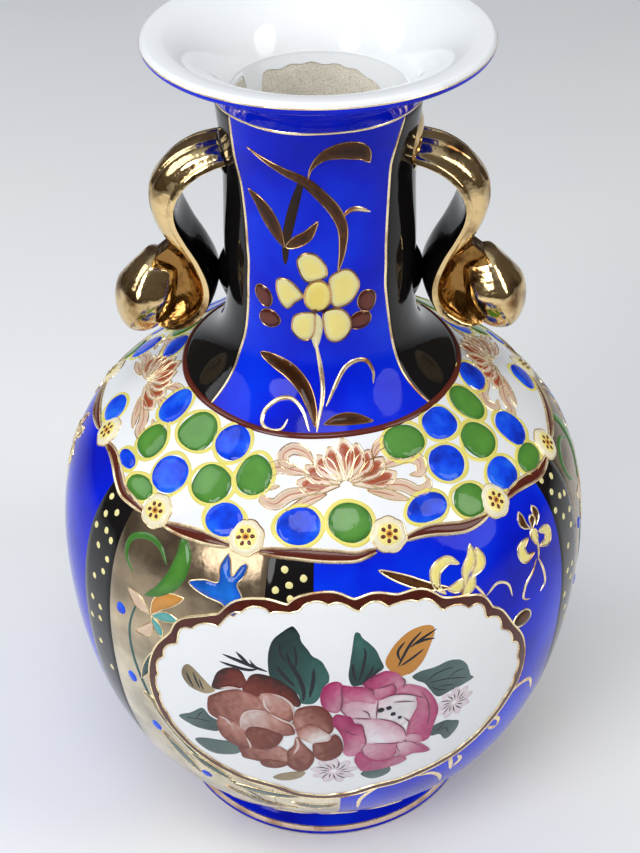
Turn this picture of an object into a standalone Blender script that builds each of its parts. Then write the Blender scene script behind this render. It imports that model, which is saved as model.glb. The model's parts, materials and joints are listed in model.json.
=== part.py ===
"""Two-handled porcelain flower vase, made as the potter makes it.

The turned sections (foot ring, belly, neck and flared mouth) are thrown apart and joined with slip.
Each scroll handle is a fluted strap with a hollow curl at its lower end, closed by a pressed bud,
and it is stuck to the neck by an upper and a lower pad of slip.  Metres, +Z up, foot on z = 0.
"""
import math

import bmesh
import bpy
import numpy as np
from mathutils import Matrix

MM = 0.001
JOINT_GAP = 0.3 * MM            # clear line left between neighbouring pieces
TURNS = 48                      # facets around every turned section

# Driving sizes
BELLY_RADIUS = 80.0 * MM
BELLY_HEIGHT = 88.0 * MM        # level of the widest circle
FOOT_RADIUS = 51.0 * MM
FOOT_TOP = 7.7 * MM
NECK_JOINT = 157.5 * MM         # belly meets neck
MOUTH_JOINT = 239.0 * MM        # neck meets flare
VASE_HEIGHT = 254.5 * MM
MOUTH_RADIUS = 44.4 * MM
WALL = 4.0 * MM
FLOOR_THICKNESS = 5.0 * MM
FLOOR_RADIUS = 44.0 * MM        # flat circle inside the belly's bottom
FOOT_INNER_RADIUS = 44.0 * MM
FOOT_EDGE = 0.8 * MM            # rounding of the foot ring's corners
INNER_LOWEST = 26.0 * MM        # the inner wall face ends here, above the belly's floor
NECK_STRAIGHT = 176.0 * MM      # the neck is nearly straight above this level
LIP = 1.5 * MM                  # rolled edge of the mouth
LIP_THINNING = 1.2 * MM         # the flare's wall is this much thinner at the lip
FLARE_CONE = 0.4                # 0 opens the mouth as a quarter ellipse, 1 as a straight cone

# Outer contour between the foot and the flare: (height, radius) where its curvature changes
CONTOUR = (
    (8.0 * MM, 47.4 * MM),
    (17.0 * MM, 54.6 * MM),
    (30.0 * MM, 64.5 * MM),
    (54.0 * MM, 75.2 * MM),
    (BELLY_HEIGHT, BELLY_RADIUS),
    (119.0 * MM, 77.3 * MM),
    (138.0 * MM, 66.9 * MM),
    (150.0 * MM, 51.1 * MM),
    (NECK_JOINT, 39.6 * MM),
    (165.0 * MM, 31.0 * MM),
    (176.0 * MM, 26.6 * MM),
    (195.0 * MM, 26.2 * MM),
    (219.0 * MM, 25.5 * MM),
    (MOUTH_JOINT, 26.9 * MM),
)

# Handle strap: inner face in the plane of the handle, as (distance from the vase axis, height)
STRAP_FACE = (
    (22.0 * MM, 222.2 * MM),
    (27.2 * MM, 220.9 * MM),
    (31.4 * MM, 218.8 * MM),
    (35.3 * MM, 215.2 * MM),
    (37.7 * MM, 210.3 * MM),
    (37.6 * MM, 205.2 * MM),
    (35.3 * MM, 199.4 * MM),
    (32.0 * MM, 192.8 * MM),
    (30.0 * MM, 186.0 * MM),
    (30.7 * MM, 180.0 * MM),
    (34.1 * MM, 175.0 * MM),
    (39.6 * MM, 172.1 * MM),
    (44.6 * MM, 171.3 * MM),
)
STRAP_WIDTH = 22.0 * MM
STRAP_EDGE = 2.9 * MM           # thickness at the two long edges
STRAP_CROWN = (                 # (share of the strap's length, rise of the fluted back above the edges)
    (0.00, 2.0 * MM),
    (0.12, 3.6 * MM),
    (0.27, 5.2 * MM),
    (0.42, 4.0 * MM),
    (0.52, 1.4 * MM),
    (0.60, 0.0),
)

# Curl at the lower end of each handle
WEB_WIDTH = 9.0 * MM            # dished web that fills the curl
WEB_STARTS = 14                 # step along the strap where the web begins
WEB_CORNERS = ((0.0, -6.0 * MM), (-4.0 * MM, 8.0 * MM))   # its free corners, seen from the bud's centre
BUD_CENTRE = (48.2 * MM, 182.6 * MM)
BUD_HALF = (7.6 * MM, 11.6 * MM, 15.2 * MM)
BUD_INNER = 9.0 * MM            # half size on the side towards the neck
BUD_TILT = math.radians(-17.0)
BUD_LEAN = 2.2 * MM             # further lean of the upper end towards the neck
BUD_BLUNT = 0.62                # the bud's upper end is cut back to about this share of its half length
BUD_SWELL = 0.12                # the lower end is fatter than the upper end by this share

# Slip pads between handle and neck
UPPER_PAD = (223.0 * MM, 6.6 * MM, 12.4 * MM)   # height, half height, half width
LOWER_PAD = (185.6 * MM, 4.2 * MM, 6.0 * MM)
PAD_THICKNESS = 1.9 * MM
PAD_CORNERS = 16
PAD_ROOT = 0.6                  # the slab starts at this share of its outer radius, well inside the neck
CUT_FROM = 165.0 * MM           # lowest level at which anything is trimmed to the neck

GLAZES = {
    "cobalt": ((0.010, 0.020, 0.480, 1.0), 0.08, 0.0),
    "white": ((0.800, 0.820, 0.840, 1.0), 0.08, 0.0),
    "black": ((0.008, 0.007, 0.008, 1.0), 0.08, 0.0),
    "gold": ((0.620, 0.400, 0.160, 1.0), 0.16, 1.0),
}


def clear_scene():
    for old in list(bpy.data.objects):
        bpy.data.objects.remove(old, do_unlink=True)


def make_glaze(name):
    colour, roughness, metallic = GLAZES[name]
    glaze = bpy.data.materials.new(name + "_glaze")
    glaze.use_nodes = True
    shader = glaze.node_tree.nodes["Principled BSDF"]
    shader.inputs["Base Color"].default_value = colour
    shader.inputs["Roughness"].default_value = roughness
    shader.inputs["Metallic"].default_value = metallic
    return glaze


def make_object(name, bm, glaze):
    bmesh.ops.recalc_face_normals(bm, faces=bm.faces)
    if bm.calc_volume(signed=True) < 0.0:
        bmesh.ops.reverse_faces(bm, faces=bm.faces)
    mesh = bpy.data.meshes.new(name)
    bm.to_mesh(mesh)
    bm.free()
    mesh.shade_smooth()
    mesh.set_sharp_from_angle(angle=math.radians(40.0))
    piece = bpy.data.objects.new(name, mesh)
    bpy.context.scene.collection.objects.link(piece)
    if glaze is not None:
        mesh.materials.append(make_glaze(glaze))
    return piece


def natural_spline(points):
    """Natural cubic spline through (t, value) points, as a function of t."""
    t, value = np.array(points).T
    step = np.diff(t)
    rise = np.diff(value) / step
    count = len(t)
    matrix = np.eye(count)
    right = np.zeros(count)
    for i in range(1, count - 1):
        matrix[i, i - 1] = step[i - 1]
        matrix[i, i] = 2.0 * (step[i - 1] + step[i])
        matrix[i, i + 1] = step[i]
        right[i] = 6.0 * (rise[i] - rise[i - 1])
    bend = np.linalg.solve(matrix, right)

    def evaluate(x):
        i = int(np.clip(np.searchsorted(t, x) - 1, 0, count - 2))
        a = t[i + 1] - x
        b = x - t[i]
        h = step[i]
        curved = (bend[i] * a ** 3 + bend[i + 1] * b ** 3) / (6.0 * h)
        straight = (value[i] / h - bend[i] * h / 6.0) * a + (value[i + 1] / h - bend[i + 1] * h / 6.0) * b
        return float(curved + straight)

    return evaluate


outer_radius = natural_spline(CONTOUR)


def inner_point(height):
    """Point of the inner wall face, one wall thickness square off the contour at this height."""
    probe = 0.5 * MM
    slope = (outer_radius(height + probe) - outer_radius(height - probe)) / (2.0 * probe)
    length = math.hypot(1.0, slope)
    return (outer_radius(height) - WALL / length, height + WALL * slope / length)


def turned(name, outline, glaze):
    """Spin a closed (radius, height) outline once around the vase axis."""
    bm = bmesh.new()
    rings = []
    for radius, height in outline:
        if radius == 0.0:
            rings.append([bm.verts.new((0.0, 0.0, height))])
            continue
        ring = []
        for k in range(TURNS):
            angle = 2.0 * math.pi * k / TURNS
            ring.append(bm.verts.new((radius * math.cos(angle), radius * math.sin(angle), height)))
        rings.append(ring)
    for first, second in zip(rings, rings[1:] + rings[:1]):
        if len(first) == 1 and len(second) == 1:
            continue
        for k in range(TURNS):
            after = (k + 1) % TURNS
            if len(first) == 1:
                bm.faces.new((first[0], second[k], second[after]))
            elif len(second) == 1:
                bm.faces.new((first[k], second[0], first[after]))
            else:
                bm.faces.new((first[k], second[k], second[after], first[after]))
    return make_object(name, bm, glaze)


def make_foot_ring():
    """Rounded ring: the belly sits on its flat top, and it rests on its flat bottom."""
    outline = [
        (FOOT_RADIUS - 2.0 * FOOT_EDGE, 0.0),
        (FOOT_RADIUS - 0.3 * FOOT_EDGE, 0.6 * FOOT_EDGE),
        (FOOT_RADIUS, 2.2 * FOOT_EDGE),
        (FOOT_RADIUS - FOOT_EDGE, 0.6 * FOOT_TOP),
        (FOOT_RADIUS - 3.0 * MM, FOOT_TOP),
        (FOOT_INNER_RADIUS - FOOT_EDGE, FOOT_TOP),
        (FOOT_INNER_RADIUS, FOOT_EDGE),
        (FOOT_INNER_RADIUS + FOOT_EDGE, 0.0),
    ]
    turned("foot_ring", outline, "cobalt")


def make_belly():
    bottom = FOOT_TOP + JOINT_GAP
    floor = bottom + FLOOR_THICKNESS
    outer = [(outer_radius(z), float(z)) for z in np.linspace(bottom, NECK_JOINT, 21)]
    inner = [inner_point(z) for z in np.linspace(NECK_JOINT, INNER_LOWEST, 14)]
    # the last inner stations stay below the joint face and above the floor
    inner = [(r, z) for r, z in inner if floor + MM < z < NECK_JOINT - MM]
    lip = (outer_radius(NECK_JOINT) - WALL, NECK_JOINT)
    flat_floor = [(FLOOR_RADIUS, floor), (0.0, floor)]
    turned("belly", [(0.0, bottom)] + outer + [lip] + inner + flat_floor, "cobalt")


def make_neck():
    bottom = NECK_JOINT + JOINT_GAP
    curved = np.linspace(bottom, NECK_STRAIGHT, 8)
    straight = np.linspace(NECK_STRAIGHT, MOUTH_JOINT, 8)[1:]
    levels = np.concatenate((curved, straight))
    outer = [(outer_radius(z), float(z)) for z in levels]
    inner = [inner_point(z) for z in levels[::-1]]
    inner = [(r, z) for r, z in inner if bottom + MM < z < MOUTH_JOINT - MM]
    top = (outer_radius(MOUTH_JOINT) - WALL, MOUTH_JOINT)
    base = (outer_radius(bottom) - WALL, bottom)
    turned("neck", outer + [top] + inner + [base], "cobalt")


def flare_point(start, bottom, reach, rise, share):
    """Point of a contour that opens upwards, part way between a quarter ellipse and a straight cone."""
    swing = share * math.pi / 2.0
    out = (1.0 - FLARE_CONE) * (1.0 - math.cos(swing)) + FLARE_CONE * share
    up = (1.0 - FLARE_CONE) * math.sin(swing) + FLARE_CONE * share
    return (start + reach * out, bottom + rise * up)


def make_mouth():
    """Trumpet flare that leaves the neck and turns out to a rolled lip."""
    start = outer_radius(MOUTH_JOINT)
    bottom = MOUTH_JOINT + JOINT_GAP
    lip_centre = (MOUTH_RADIUS - LIP, VASE_HEIGHT - LIP)
    reach = lip_centre[0] - start
    rise = lip_centre[1] - LIP - bottom
    outer = [flare_point(start, bottom, reach, rise, k / 8.0) for k in range(8)]
    rolled = []
    for k in range(5):
        swing = math.radians(-90.0 + 45.0 * k)
        rolled.append((lip_centre[0] + LIP * math.cos(swing), lip_centre[1] + LIP * math.sin(swing)))
    inner = [flare_point(start - WALL, bottom, reach + LIP_THINNING, VASE_HEIGHT - bottom, k / 9.0)
             for k in range(8, -1, -1)]
    turned("mouth_flare", outer + rolled + inner, "white")


def smooth_path(points, per_span):
    """Catmull-Rom curve through the points, with per_span steps between neighbours."""
    ends = [2.0 * np.array(points[0]) - np.array(points[1])]
    tail = [2.0 * np.array(points[-1]) - np.array(points[-2])]
    knots = ends + [np.array(p) for p in points] + tail
    path = []
    for i in range(1, len(knots) - 2):
        before, start, stop, after = knots[i - 1:i + 3]
        for k in range(per_span):
            t = k / per_span
            path.append(0.5 * (2.0 * start + (stop - before) * t
                               + (2.0 * before - 5.0 * start + 4.0 * stop - after) * t ** 2
                               + (3.0 * start - before - 3.0 * stop + after) * t ** 3))
    path.append(knots[-2])
    return path


def strap_section(crown):
    """(across, thickness) points of one cross-section: flat inner face, crowned back."""
    half = STRAP_WIDTH / 2.0
    section = [(-half, 0.0), (-half, STRAP_EDGE)]
    for across, rise in ((-0.72, 0.66), (-0.36, 0.92), (0.0, 1.0), (0.36, 0.92), (0.72, 0.66)):
        section.append((across * half, STRAP_EDGE + crown * rise))
    section += [(half, STRAP_EDGE), (half, 0.0)]
    return section


def make_strap(name):
    """Fluted strap swept along its inner face, on the -X side of the neck."""
    path = smooth_path(STRAP_FACE, 2)
    shares, rises = np.array(STRAP_CROWN).T
    bm = bmesh.new()
    rings = []
    for i, point in enumerate(path):
        ahead = path[min(i + 1, len(path) - 1)] - path[max(i - 1, 0)]
        ahead = ahead / np.linalg.norm(ahead)
        out = np.array((-ahead[1], ahead[0]))
        crown = float(np.interp(i / (len(path) - 1), shares, rises))
        ring = []
        for across, thick in strap_section(crown):
            x, z = point + thick * out
            ring.append(bm.verts.new((-x, across, z)))
        rings.append(ring)
    for first, second in zip(rings, rings[1:]):
        count = len(first)
        for k in range(count):
            after = (k + 1) % count
            bm.faces.new((first[k], first[after], second[after], second[k]))
    bm.faces.new(rings[0])
    bm.faces.new(rings[-1])
    return make_object(name, bm, "gold")


def slab(outline, half_width):
    """Plate of the given (distance, height) outline, centred on the plane of the handle."""
    bm = bmesh.new()
    near = [bm.verts.new((-x, -half_width, z)) for x, z in outline]
    far = [bm.verts.new((-x, half_width, z)) for x, z in outline]
    bm.faces.new(near)
    bm.faces.new(far)
    for k in range(len(outline)):
        after = (k + 1) % len(outline)
        bm.faces.new((near[k], near[after], far[after], far[k]))
    return make_object("slab", bm, None)


def curl_web():
    """Plate that fills the inside of the curl, from the strap to inside the bud."""
    face = smooth_path(STRAP_FACE, 2)[WEB_STARTS:-1]
    outline = []
    for point, following in zip(face, face[1:]):
        ahead = (following - point) / np.linalg.norm(following - point)
        outline.append(point + 0.55 * STRAP_EDGE * np.array((-ahead[1], ahead[0])))
    outline += [np.array(BUD_CENTRE) + np.array(corner) for corner in WEB_CORNERS]
    return slab(outline, WEB_WIDTH / 2.0)


def combine(piece, tool, operation):
    """Apply one exact Boolean to piece and drop the tool."""
    modifier = piece.modifiers.new("cut", "BOOLEAN")
    modifier.operation = operation
    modifier.solver = "EXACT"
    modifier.object = tool
    depsgraph = bpy.context.evaluated_depsgraph_get()
    result = bpy.data.meshes.new_from_object(piece.evaluated_get(depsgraph))
    piece.modifiers.remove(modifier)
    piece.data = result
    bpy.data.objects.remove(tool, do_unlink=True)


def grown_neck(clearance):
    """Solid copy of the neck's outside, grown by a clearance, to cut what is stuck onto it."""
    levels = np.linspace(CUT_FROM, MOUTH_JOINT, 13)
    outline = [(0.0, float(levels[0]))]
    outline += [(outer_radius(z) + clearance, float(z)) for z in levels]
    outline.append((0.0, float(levels[-1])))
    return turned("grown_neck", outline, None)


def make_bud(name, glaze, clearance):
    """Egg-shaped bud with a blunt upper end, leaning towards the neck."""
    bm = bmesh.new()
    bmesh.ops.create_uvsphere(bm, u_segments=18, v_segments=12, radius=1.0)
    half_x, half_y, half_z = (half + clearance for half in BUD_HALF)
    inner_x = BUD_INNER + clearance
    for vert in bm.verts:
        up = vert.co.z
        if up > BUD_BLUNT:
            up = BUD_BLUNT + 0.25 * (up - BUD_BLUNT)
        swell = 1.0 - BUD_SWELL * up
        x = vert.co.x * swell * (half_x if vert.co.x > 0.0 else inner_x) - BUD_LEAN * max(0.0, up) ** 2
        z = up * half_z
        leaned_x = x * math.cos(BUD_TILT) + z * math.sin(BUD_TILT)
        leaned_z = z * math.cos(BUD_TILT) - x * math.sin(BUD_TILT)
        vert.co = (-BUD_CENTRE[0] - leaned_x, vert.co.y * swell * half_y, BUD_CENTRE[1] + leaned_z)
    return make_object(name, bm, glaze)


def make_pad(name, place):
    """Pad of slip that follows the neck: a rounded slab cut to the neck's own curve."""
    height, half_height, half_width = place
    outer = outer_radius(height) + JOINT_GAP + PAD_THICKNESS
    bm = bmesh.new()
    near = []
    far = []
    for k in range(PAD_CORNERS):
        swing = 2.0 * math.pi * k / PAD_CORNERS
        across = half_width * math.cos(swing)
        up = height + half_height * math.sin(swing)
        near.append(bm.verts.new((-PAD_ROOT * outer, across, up)))
        far.append(bm.verts.new((-math.sqrt(outer ** 2 - across ** 2), across, up)))
    bm.faces.new(near)
    bm.faces.new(far)
    for k in range(PAD_CORNERS):
        after = (k + 1) % PAD_CORNERS
        bm.faces.new((near[k], near[after], far[after], far[k]))
    pad = make_object(name, bm, "gold")
    combine(pad, grown_neck(JOINT_GAP), "DIFFERENCE")
    return pad


def make_handle():
    """All pieces of the left handle."""
    strap = make_strap("handle_strap_left")
    combine(strap, curl_web(), "UNION")
    combine(strap, make_bud("grown_bud", None, JOINT_GAP), "DIFFERENCE")
    combine(strap, grown_neck(2.0 * JOINT_GAP + PAD_THICKNESS), "DIFFERENCE")
    bud = make_bud("handle_bud_left", "gold", 0.0)
    upper = make_pad("upper_slip_pad_left", UPPER_PAD)
    lower = make_pad("lower_slip_pad_left", LOWER_PAD)
    return strap, bud, upper, lower


def mirror_piece(piece):
    """Right-hand twin of a left-hand piece."""
    mesh = piece.data.copy()
    mesh.transform(Matrix.Scale(-1.0, 4, (1.0, 0.0, 0.0)))
    mesh.flip_normals()
    twin = bpy.data.objects.new(piece.name.replace("left", "right"), mesh)
    bpy.context.scene.collection.objects.link(twin)


clear_scene()
make_foot_ring()
make_belly()
make_neck()
make_mouth()
for left_piece in make_handle():
    mirror_piece(left_piece)
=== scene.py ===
"""Looks of the two-handled porcelain vase: glazed turned sections, gilt handles and enamel painting.

The painting is laid on the vase as thin raised shapes.  A place on a turned surface is (azimuth, s):
azimuth in degrees, 0 facing -Y and positive towards +X, and s in mm along the contour from the foot up.
Lengths below are in mm, apart from the stage, lights and camera, which are in metres.
"""
import json
import math

import bmesh
import bpy
import numpy as np
from mathutils import Matrix, Vector
from mathutils.geometry import delaunay_2d_cdt

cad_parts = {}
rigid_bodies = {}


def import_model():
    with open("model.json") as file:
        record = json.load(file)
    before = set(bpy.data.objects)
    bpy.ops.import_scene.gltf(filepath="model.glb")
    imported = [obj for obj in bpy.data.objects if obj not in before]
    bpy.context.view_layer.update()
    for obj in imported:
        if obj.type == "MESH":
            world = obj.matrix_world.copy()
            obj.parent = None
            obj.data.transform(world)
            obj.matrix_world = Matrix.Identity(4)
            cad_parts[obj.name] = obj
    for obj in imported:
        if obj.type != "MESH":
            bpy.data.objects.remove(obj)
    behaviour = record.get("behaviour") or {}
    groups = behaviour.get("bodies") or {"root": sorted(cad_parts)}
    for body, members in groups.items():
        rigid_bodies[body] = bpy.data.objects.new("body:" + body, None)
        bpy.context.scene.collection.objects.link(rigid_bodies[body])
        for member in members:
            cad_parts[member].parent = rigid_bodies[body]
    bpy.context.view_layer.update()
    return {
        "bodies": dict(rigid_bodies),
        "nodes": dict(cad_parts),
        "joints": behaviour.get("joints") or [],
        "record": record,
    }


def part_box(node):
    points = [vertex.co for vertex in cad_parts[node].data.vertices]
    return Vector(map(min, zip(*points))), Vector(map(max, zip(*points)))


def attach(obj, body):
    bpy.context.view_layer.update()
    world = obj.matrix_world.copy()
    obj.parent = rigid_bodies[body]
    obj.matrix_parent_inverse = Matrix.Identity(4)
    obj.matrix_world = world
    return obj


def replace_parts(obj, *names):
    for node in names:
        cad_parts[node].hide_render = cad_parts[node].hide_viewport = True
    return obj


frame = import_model()

MM = 0.001
TURNS = 192                      # facets around a turned piece
RNG = np.random.default_rng(11)  # small irregularities of the hand painting

# Sizes read from the frame
FOOT_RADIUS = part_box("foot_ring")[1].x / MM
FOOT_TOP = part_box("foot_ring")[1].z / MM
NECK_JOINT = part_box("belly")[1].z / MM
MOUTH_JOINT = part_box("neck")[1].z / MM
VASE_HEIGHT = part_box("mouth_flare")[1].z / MM
MOUTH_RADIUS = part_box("mouth_flare")[1].x / MM
WALL = 4.0
LIP = 1.5
FLARE_CONE = 0.4                 # 0 opens the mouth as a quarter ellipse, 1 as a straight cone

# Outer contour between the foot and the flare: (height, radius)
CONTOUR = (
    (8.0, 47.4), (17.0, 54.6), (30.0, 64.5), (54.0, 75.2), (88.0, 80.0), (119.0, 77.3), (138.0, 66.9),
    (150.0, 51.1), (157.5, 39.6), (165.0, 31.0), (176.0, 26.6), (195.0, 26.2), (219.0, 25.5), (239.0, 26.9),
)

# Handle strap, inner face in the plane of the handle: (distance from the vase axis, height)
STRAP_FACE = (
    (24.0, 221.8), (27.2, 220.9), (31.4, 218.8), (35.3, 215.2), (37.7, 210.3), (37.6, 205.2), (35.3, 199.4),
    (32.0, 192.8), (30.0, 186.0), (30.7, 180.0), (34.1, 175.0), (39.6, 172.1), (44.6, 171.3),
)
STRAP_CROWN = (  # (share of the strap's length, rise of the fluted back above its edges)
    (0.0, 1.8), (0.12, 3.4), (0.27, 5.2), (0.42, 4.0), (0.52, 1.4), (0.60, 0.0), (1.0, 0.0),
)


# ---------------------------------------------------------------- curves and surfaces

def natural_spline(points):
    """Natural cubic spline through (t, value) points, as a function of an array t."""
    t, value = np.array(points, float).T
    step = np.diff(t)
    rise = np.diff(value) / step
    count = len(t)
    matrix = np.eye(count)
    right = np.zeros(count)
    for i in range(1, count - 1):
        matrix[i, i - 1:i + 2] = step[i - 1], 2.0 * (step[i - 1] + step[i]), step[i]
        right[i] = 6.0 * (rise[i] - rise[i - 1])
    bend = np.linalg.solve(matrix, right)

    def evaluate(x):
        x = np.asarray(x, float)
        i = np.clip(np.searchsorted(t, x) - 1, 0, count - 2)
        a = t[i + 1] - x
        b = x - t[i]
        h = step[i]
        curved = (bend[i] * a ** 3 + bend[i + 1] * b ** 3) / (6.0 * h)
        falling = (value[i] / h - bend[i] * h / 6.0) * a
        rising = (value[i + 1] / h - bend[i + 1] * h / 6.0) * b
        return curved + falling + rising

    return evaluate


def smooth_path(points, step, closed=False):
    """Catmull-Rom curve through the points, with a sample about every step."""
    knots = np.array(points, float)
    if closed:
        knots = np.vstack((knots[-1], knots, knots[0], knots[1]))
    else:
        knots = np.vstack((2.0 * knots[0] - knots[1], knots, 2.0 * knots[-1] - knots[-2]))
    path = []
    for before, start, stop, after in zip(knots, knots[1:], knots[2:], knots[3:]):
        count = max(1, int(math.ceil(np.linalg.norm(stop - start) / step)))
        for t in np.arange(count) / count:
            path.append(0.5 * (2.0 * start + (stop - before) * t
                               + (2.0 * before - 5.0 * start + 4.0 * stop - after) * t ** 2
                               + (3.0 * start - before - 3.0 * stop + after) * t ** 3))
    if not closed:
        path.append(knots[-2])
    return np.array(path)


class Surface:
    """A turned surface, met by azimuth in degrees and distance s along its (radius, height) contour."""

    def __init__(self, contour, facing=1.0):
        self.r, self.z = np.array(contour, float).T
        self.s = np.concatenate(([0.0], np.cumsum(np.hypot(np.diff(self.r), np.diff(self.z)))))
        self.facing = facing
        self.out_r = facing * np.gradient(self.z, self.s)
        self.out_z = -facing * np.gradient(self.r, self.s)

    def radius(self, s):
        """Radius in mm at s."""
        return np.interp(s, self.s, self.r)

    def s_at(self, height):
        """Distance along the contour at a height."""
        return float(np.interp(height, self.z, self.s))

    def degree(self, s):
        """Length in mm of one degree of azimuth at s."""
        return np.maximum(self.radius(s), 1.0) * math.pi / 180.0

    def place(self, azimuth, s, lift):
        """Points in metres, lifted square off the surface."""
        swing = np.radians(azimuth)
        r = self.radius(s) + lift * np.interp(s, self.s, self.out_r)
        z = np.interp(s, self.s, self.z) + lift * np.interp(s, self.s, self.out_z)
        return np.column_stack((r * np.sin(swing), -r * np.cos(swing), z)) * MM


wall_radius = natural_spline(CONTOUR)


def wall_contour(low, high, count):
    """Outside of the foot, belly and neck, as (radius, height) from low to high."""
    heights = np.linspace(low, high, count)
    return [(float(wall_radius(z)), float(z)) for z in heights]


def inner_contour(low, high, count):
    """Inner wall face, one wall thickness square off the contour."""
    heights = np.linspace(low, high, count)
    slope = (wall_radius(heights + 0.1) - wall_radius(heights - 0.1)) / 0.2
    length = np.hypot(1.0, slope)
    return list(zip(wall_radius(heights) - WALL / length, heights + WALL * slope / length))


def trumpet(start, bottom, reach, rise, count):
    """Contour that opens upwards, part way between a quarter ellipse and a straight cone."""
    points = []
    for t in np.linspace(0.0, 1.0, count):
        swing = t * math.pi / 2.0
        out = (1.0 - FLARE_CONE) * (1.0 - math.cos(swing)) + FLARE_CONE * t
        up = (1.0 - FLARE_CONE) * math.sin(swing) + FLARE_CONE * t
        points.append((start + reach * out, bottom + rise * up))
    return points


def flare_contour(count):
    """Outside of the flare, from the neck joint to the lip."""
    start = float(wall_radius(MOUTH_JOINT))
    rise = VASE_HEIGHT - 2.0 * LIP - MOUTH_JOINT
    return trumpet(start, MOUTH_JOINT, MOUTH_RADIUS - LIP - start, rise, count)


def lip_contour(count):
    """Rolled edge of the mouth, from its underside over to its top."""
    swings = np.linspace(-math.pi / 2.0, math.pi / 2.0, count)
    centre = (MOUTH_RADIUS - LIP, VASE_HEIGHT - LIP)
    return [(centre[0] + LIP * math.cos(a), centre[1] + LIP * math.sin(a)) for a in swings]


def throat_contour(count):
    """Inside of the flare, from near the lip down to the neck joint."""
    start = float(wall_radius(MOUTH_JOINT)) - WALL
    reach = MOUTH_RADIUS - LIP - start - 2.8
    return trumpet(start, MOUTH_JOINT, reach, VASE_HEIGHT - MOUTH_JOINT, count)[::-1][2:]


OUTER_CONTOUR = wall_contour(CONTOUR[0][0], MOUTH_JOINT, 900) + flare_contour(60)[1:] + lip_contour(20)[1:]
OUTSIDE = Surface(OUTER_CONTOUR)
INSIDE = Surface(inner_contour(NECK_JOINT, MOUTH_JOINT, 200), facing=-1.0)
NECK_S = OUTSIDE.s_at(NECK_JOINT)
RING_S = OUTSIDE.s_at(MOUTH_JOINT)


# ---------------------------------------------------------------- materials

def new_material(name, roughness, metallic=0.0, gloss=0.3):
    """Plain material to build on, with its node tree and shader."""
    material = bpy.data.materials.new(name)
    material.use_nodes = True
    shader = material.node_tree.nodes["Principled BSDF"]
    shader.inputs["Roughness"].default_value = roughness
    shader.inputs["Metallic"].default_value = metallic
    shader.inputs["Specular IOR Level"].default_value = gloss
    return material, material.node_tree, shader


def add_noise(tree, scale, detail=3.0):
    """Noise over the piece, scale in features per metre."""
    place = tree.nodes.new("ShaderNodeTexCoord")
    noise = tree.nodes.new("ShaderNodeTexNoise")
    noise.inputs["Scale"].default_value = scale
    noise.inputs["Detail"].default_value = detail
    tree.links.new(place.outputs["Object"], noise.inputs["Vector"])
    return noise.outputs["Fac"]


def add_range(tree, value, low, high):
    """Spread the middle of a noise over low to high."""
    spread = tree.nodes.new("ShaderNodeMapRange")
    spread.inputs["From Min"].default_value = 0.3
    spread.inputs["From Max"].default_value = 0.7
    spread.inputs["To Min"].default_value = low
    spread.inputs["To Max"].default_value = high
    tree.links.new(value, spread.inputs["Value"])
    return spread.outputs["Result"]


def add_bump(tree, shader, height, distance, strength):
    """Let the shader's surface wave with height, up to a distance in mm."""
    bump = tree.nodes.new("ShaderNodeBump")
    bump.inputs["Distance"].default_value = distance * MM
    bump.inputs["Strength"].default_value = strength
    tree.links.new(height, bump.inputs["Height"])
    tree.links.new(bump.outputs["Normal"], shader.inputs["Normal"])


def add_ramp(tree, value, colours):
    """Colours spread evenly over value 0 to 1."""
    ramp = tree.nodes.new("ShaderNodeValToRGB")
    while len(ramp.color_ramp.elements) < len(colours):
        ramp.color_ramp.elements.new(0.5)
    for i, colour in enumerate(colours):
        ramp.color_ramp.elements[i].position = i / (len(colours) - 1)
        ramp.color_ramp.elements[i].color = (*colour, 1.0)
    tree.links.new(value, ramp.inputs["Fac"])
    return ramp.outputs["Color"]


def tint(tree, colour, value, depth):
    """Colour darkened by up to depth where value is low."""
    mix = tree.nodes.new("ShaderNodeMix")
    mix.data_type = "RGBA"
    mix.blend_type = "MULTIPLY"
    mix.inputs["Factor"].default_value = 1.0
    grey = add_range(tree, value, 1.0 - depth, 1.0)
    tree.links.new(colour, mix.inputs["A"])
    tree.links.new(grey, mix.inputs["B"])
    return mix.outputs["Result"]


def enamel(name, colours, roughness=0.07, patch=60.0, depth=0.15, wave=0.25, metallic=0.0, gloss=0.3):
    """Glassy fired colour: tone from the shape's own shading, uneven where the brush laid it thin."""
    material, tree, shader = new_material(name, roughness, metallic, gloss)
    tone = tree.nodes.new("ShaderNodeAttribute")
    tone.attribute_name = "tone"
    colour = add_ramp(tree, tone.outputs["Fac"], colours)
    cloud = add_noise(tree, patch)
    tree.links.new(tint(tree, colour, cloud, depth), shader.inputs["Base Color"])
    fine = add_noise(tree, 420.0)
    tree.links.new(add_range(tree, fine, roughness * 0.7, roughness * 1.5), shader.inputs["Roughness"])
    add_bump(tree, shader, add_noise(tree, 260.0, 2.0), 0.12, wave)
    return material


def watery(name, colours, roughness, patch, gloss):
    """Glaze whose colour has pooled unevenly, darker and paler in patches."""
    material, tree, shader = new_material(name, roughness, 0.0, gloss)
    pool = add_range(tree, add_noise(tree, patch, 3.0), 0.0, 1.0)
    tree.links.new(add_ramp(tree, pool, colours), shader.inputs["Base Color"])
    fine = add_noise(tree, 420.0)
    tree.links.new(add_range(tree, fine, roughness * 0.7, roughness * 1.5), shader.inputs["Roughness"])
    add_bump(tree, shader, add_noise(tree, 260.0, 2.0), 0.12, 0.25)
    return material


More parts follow.
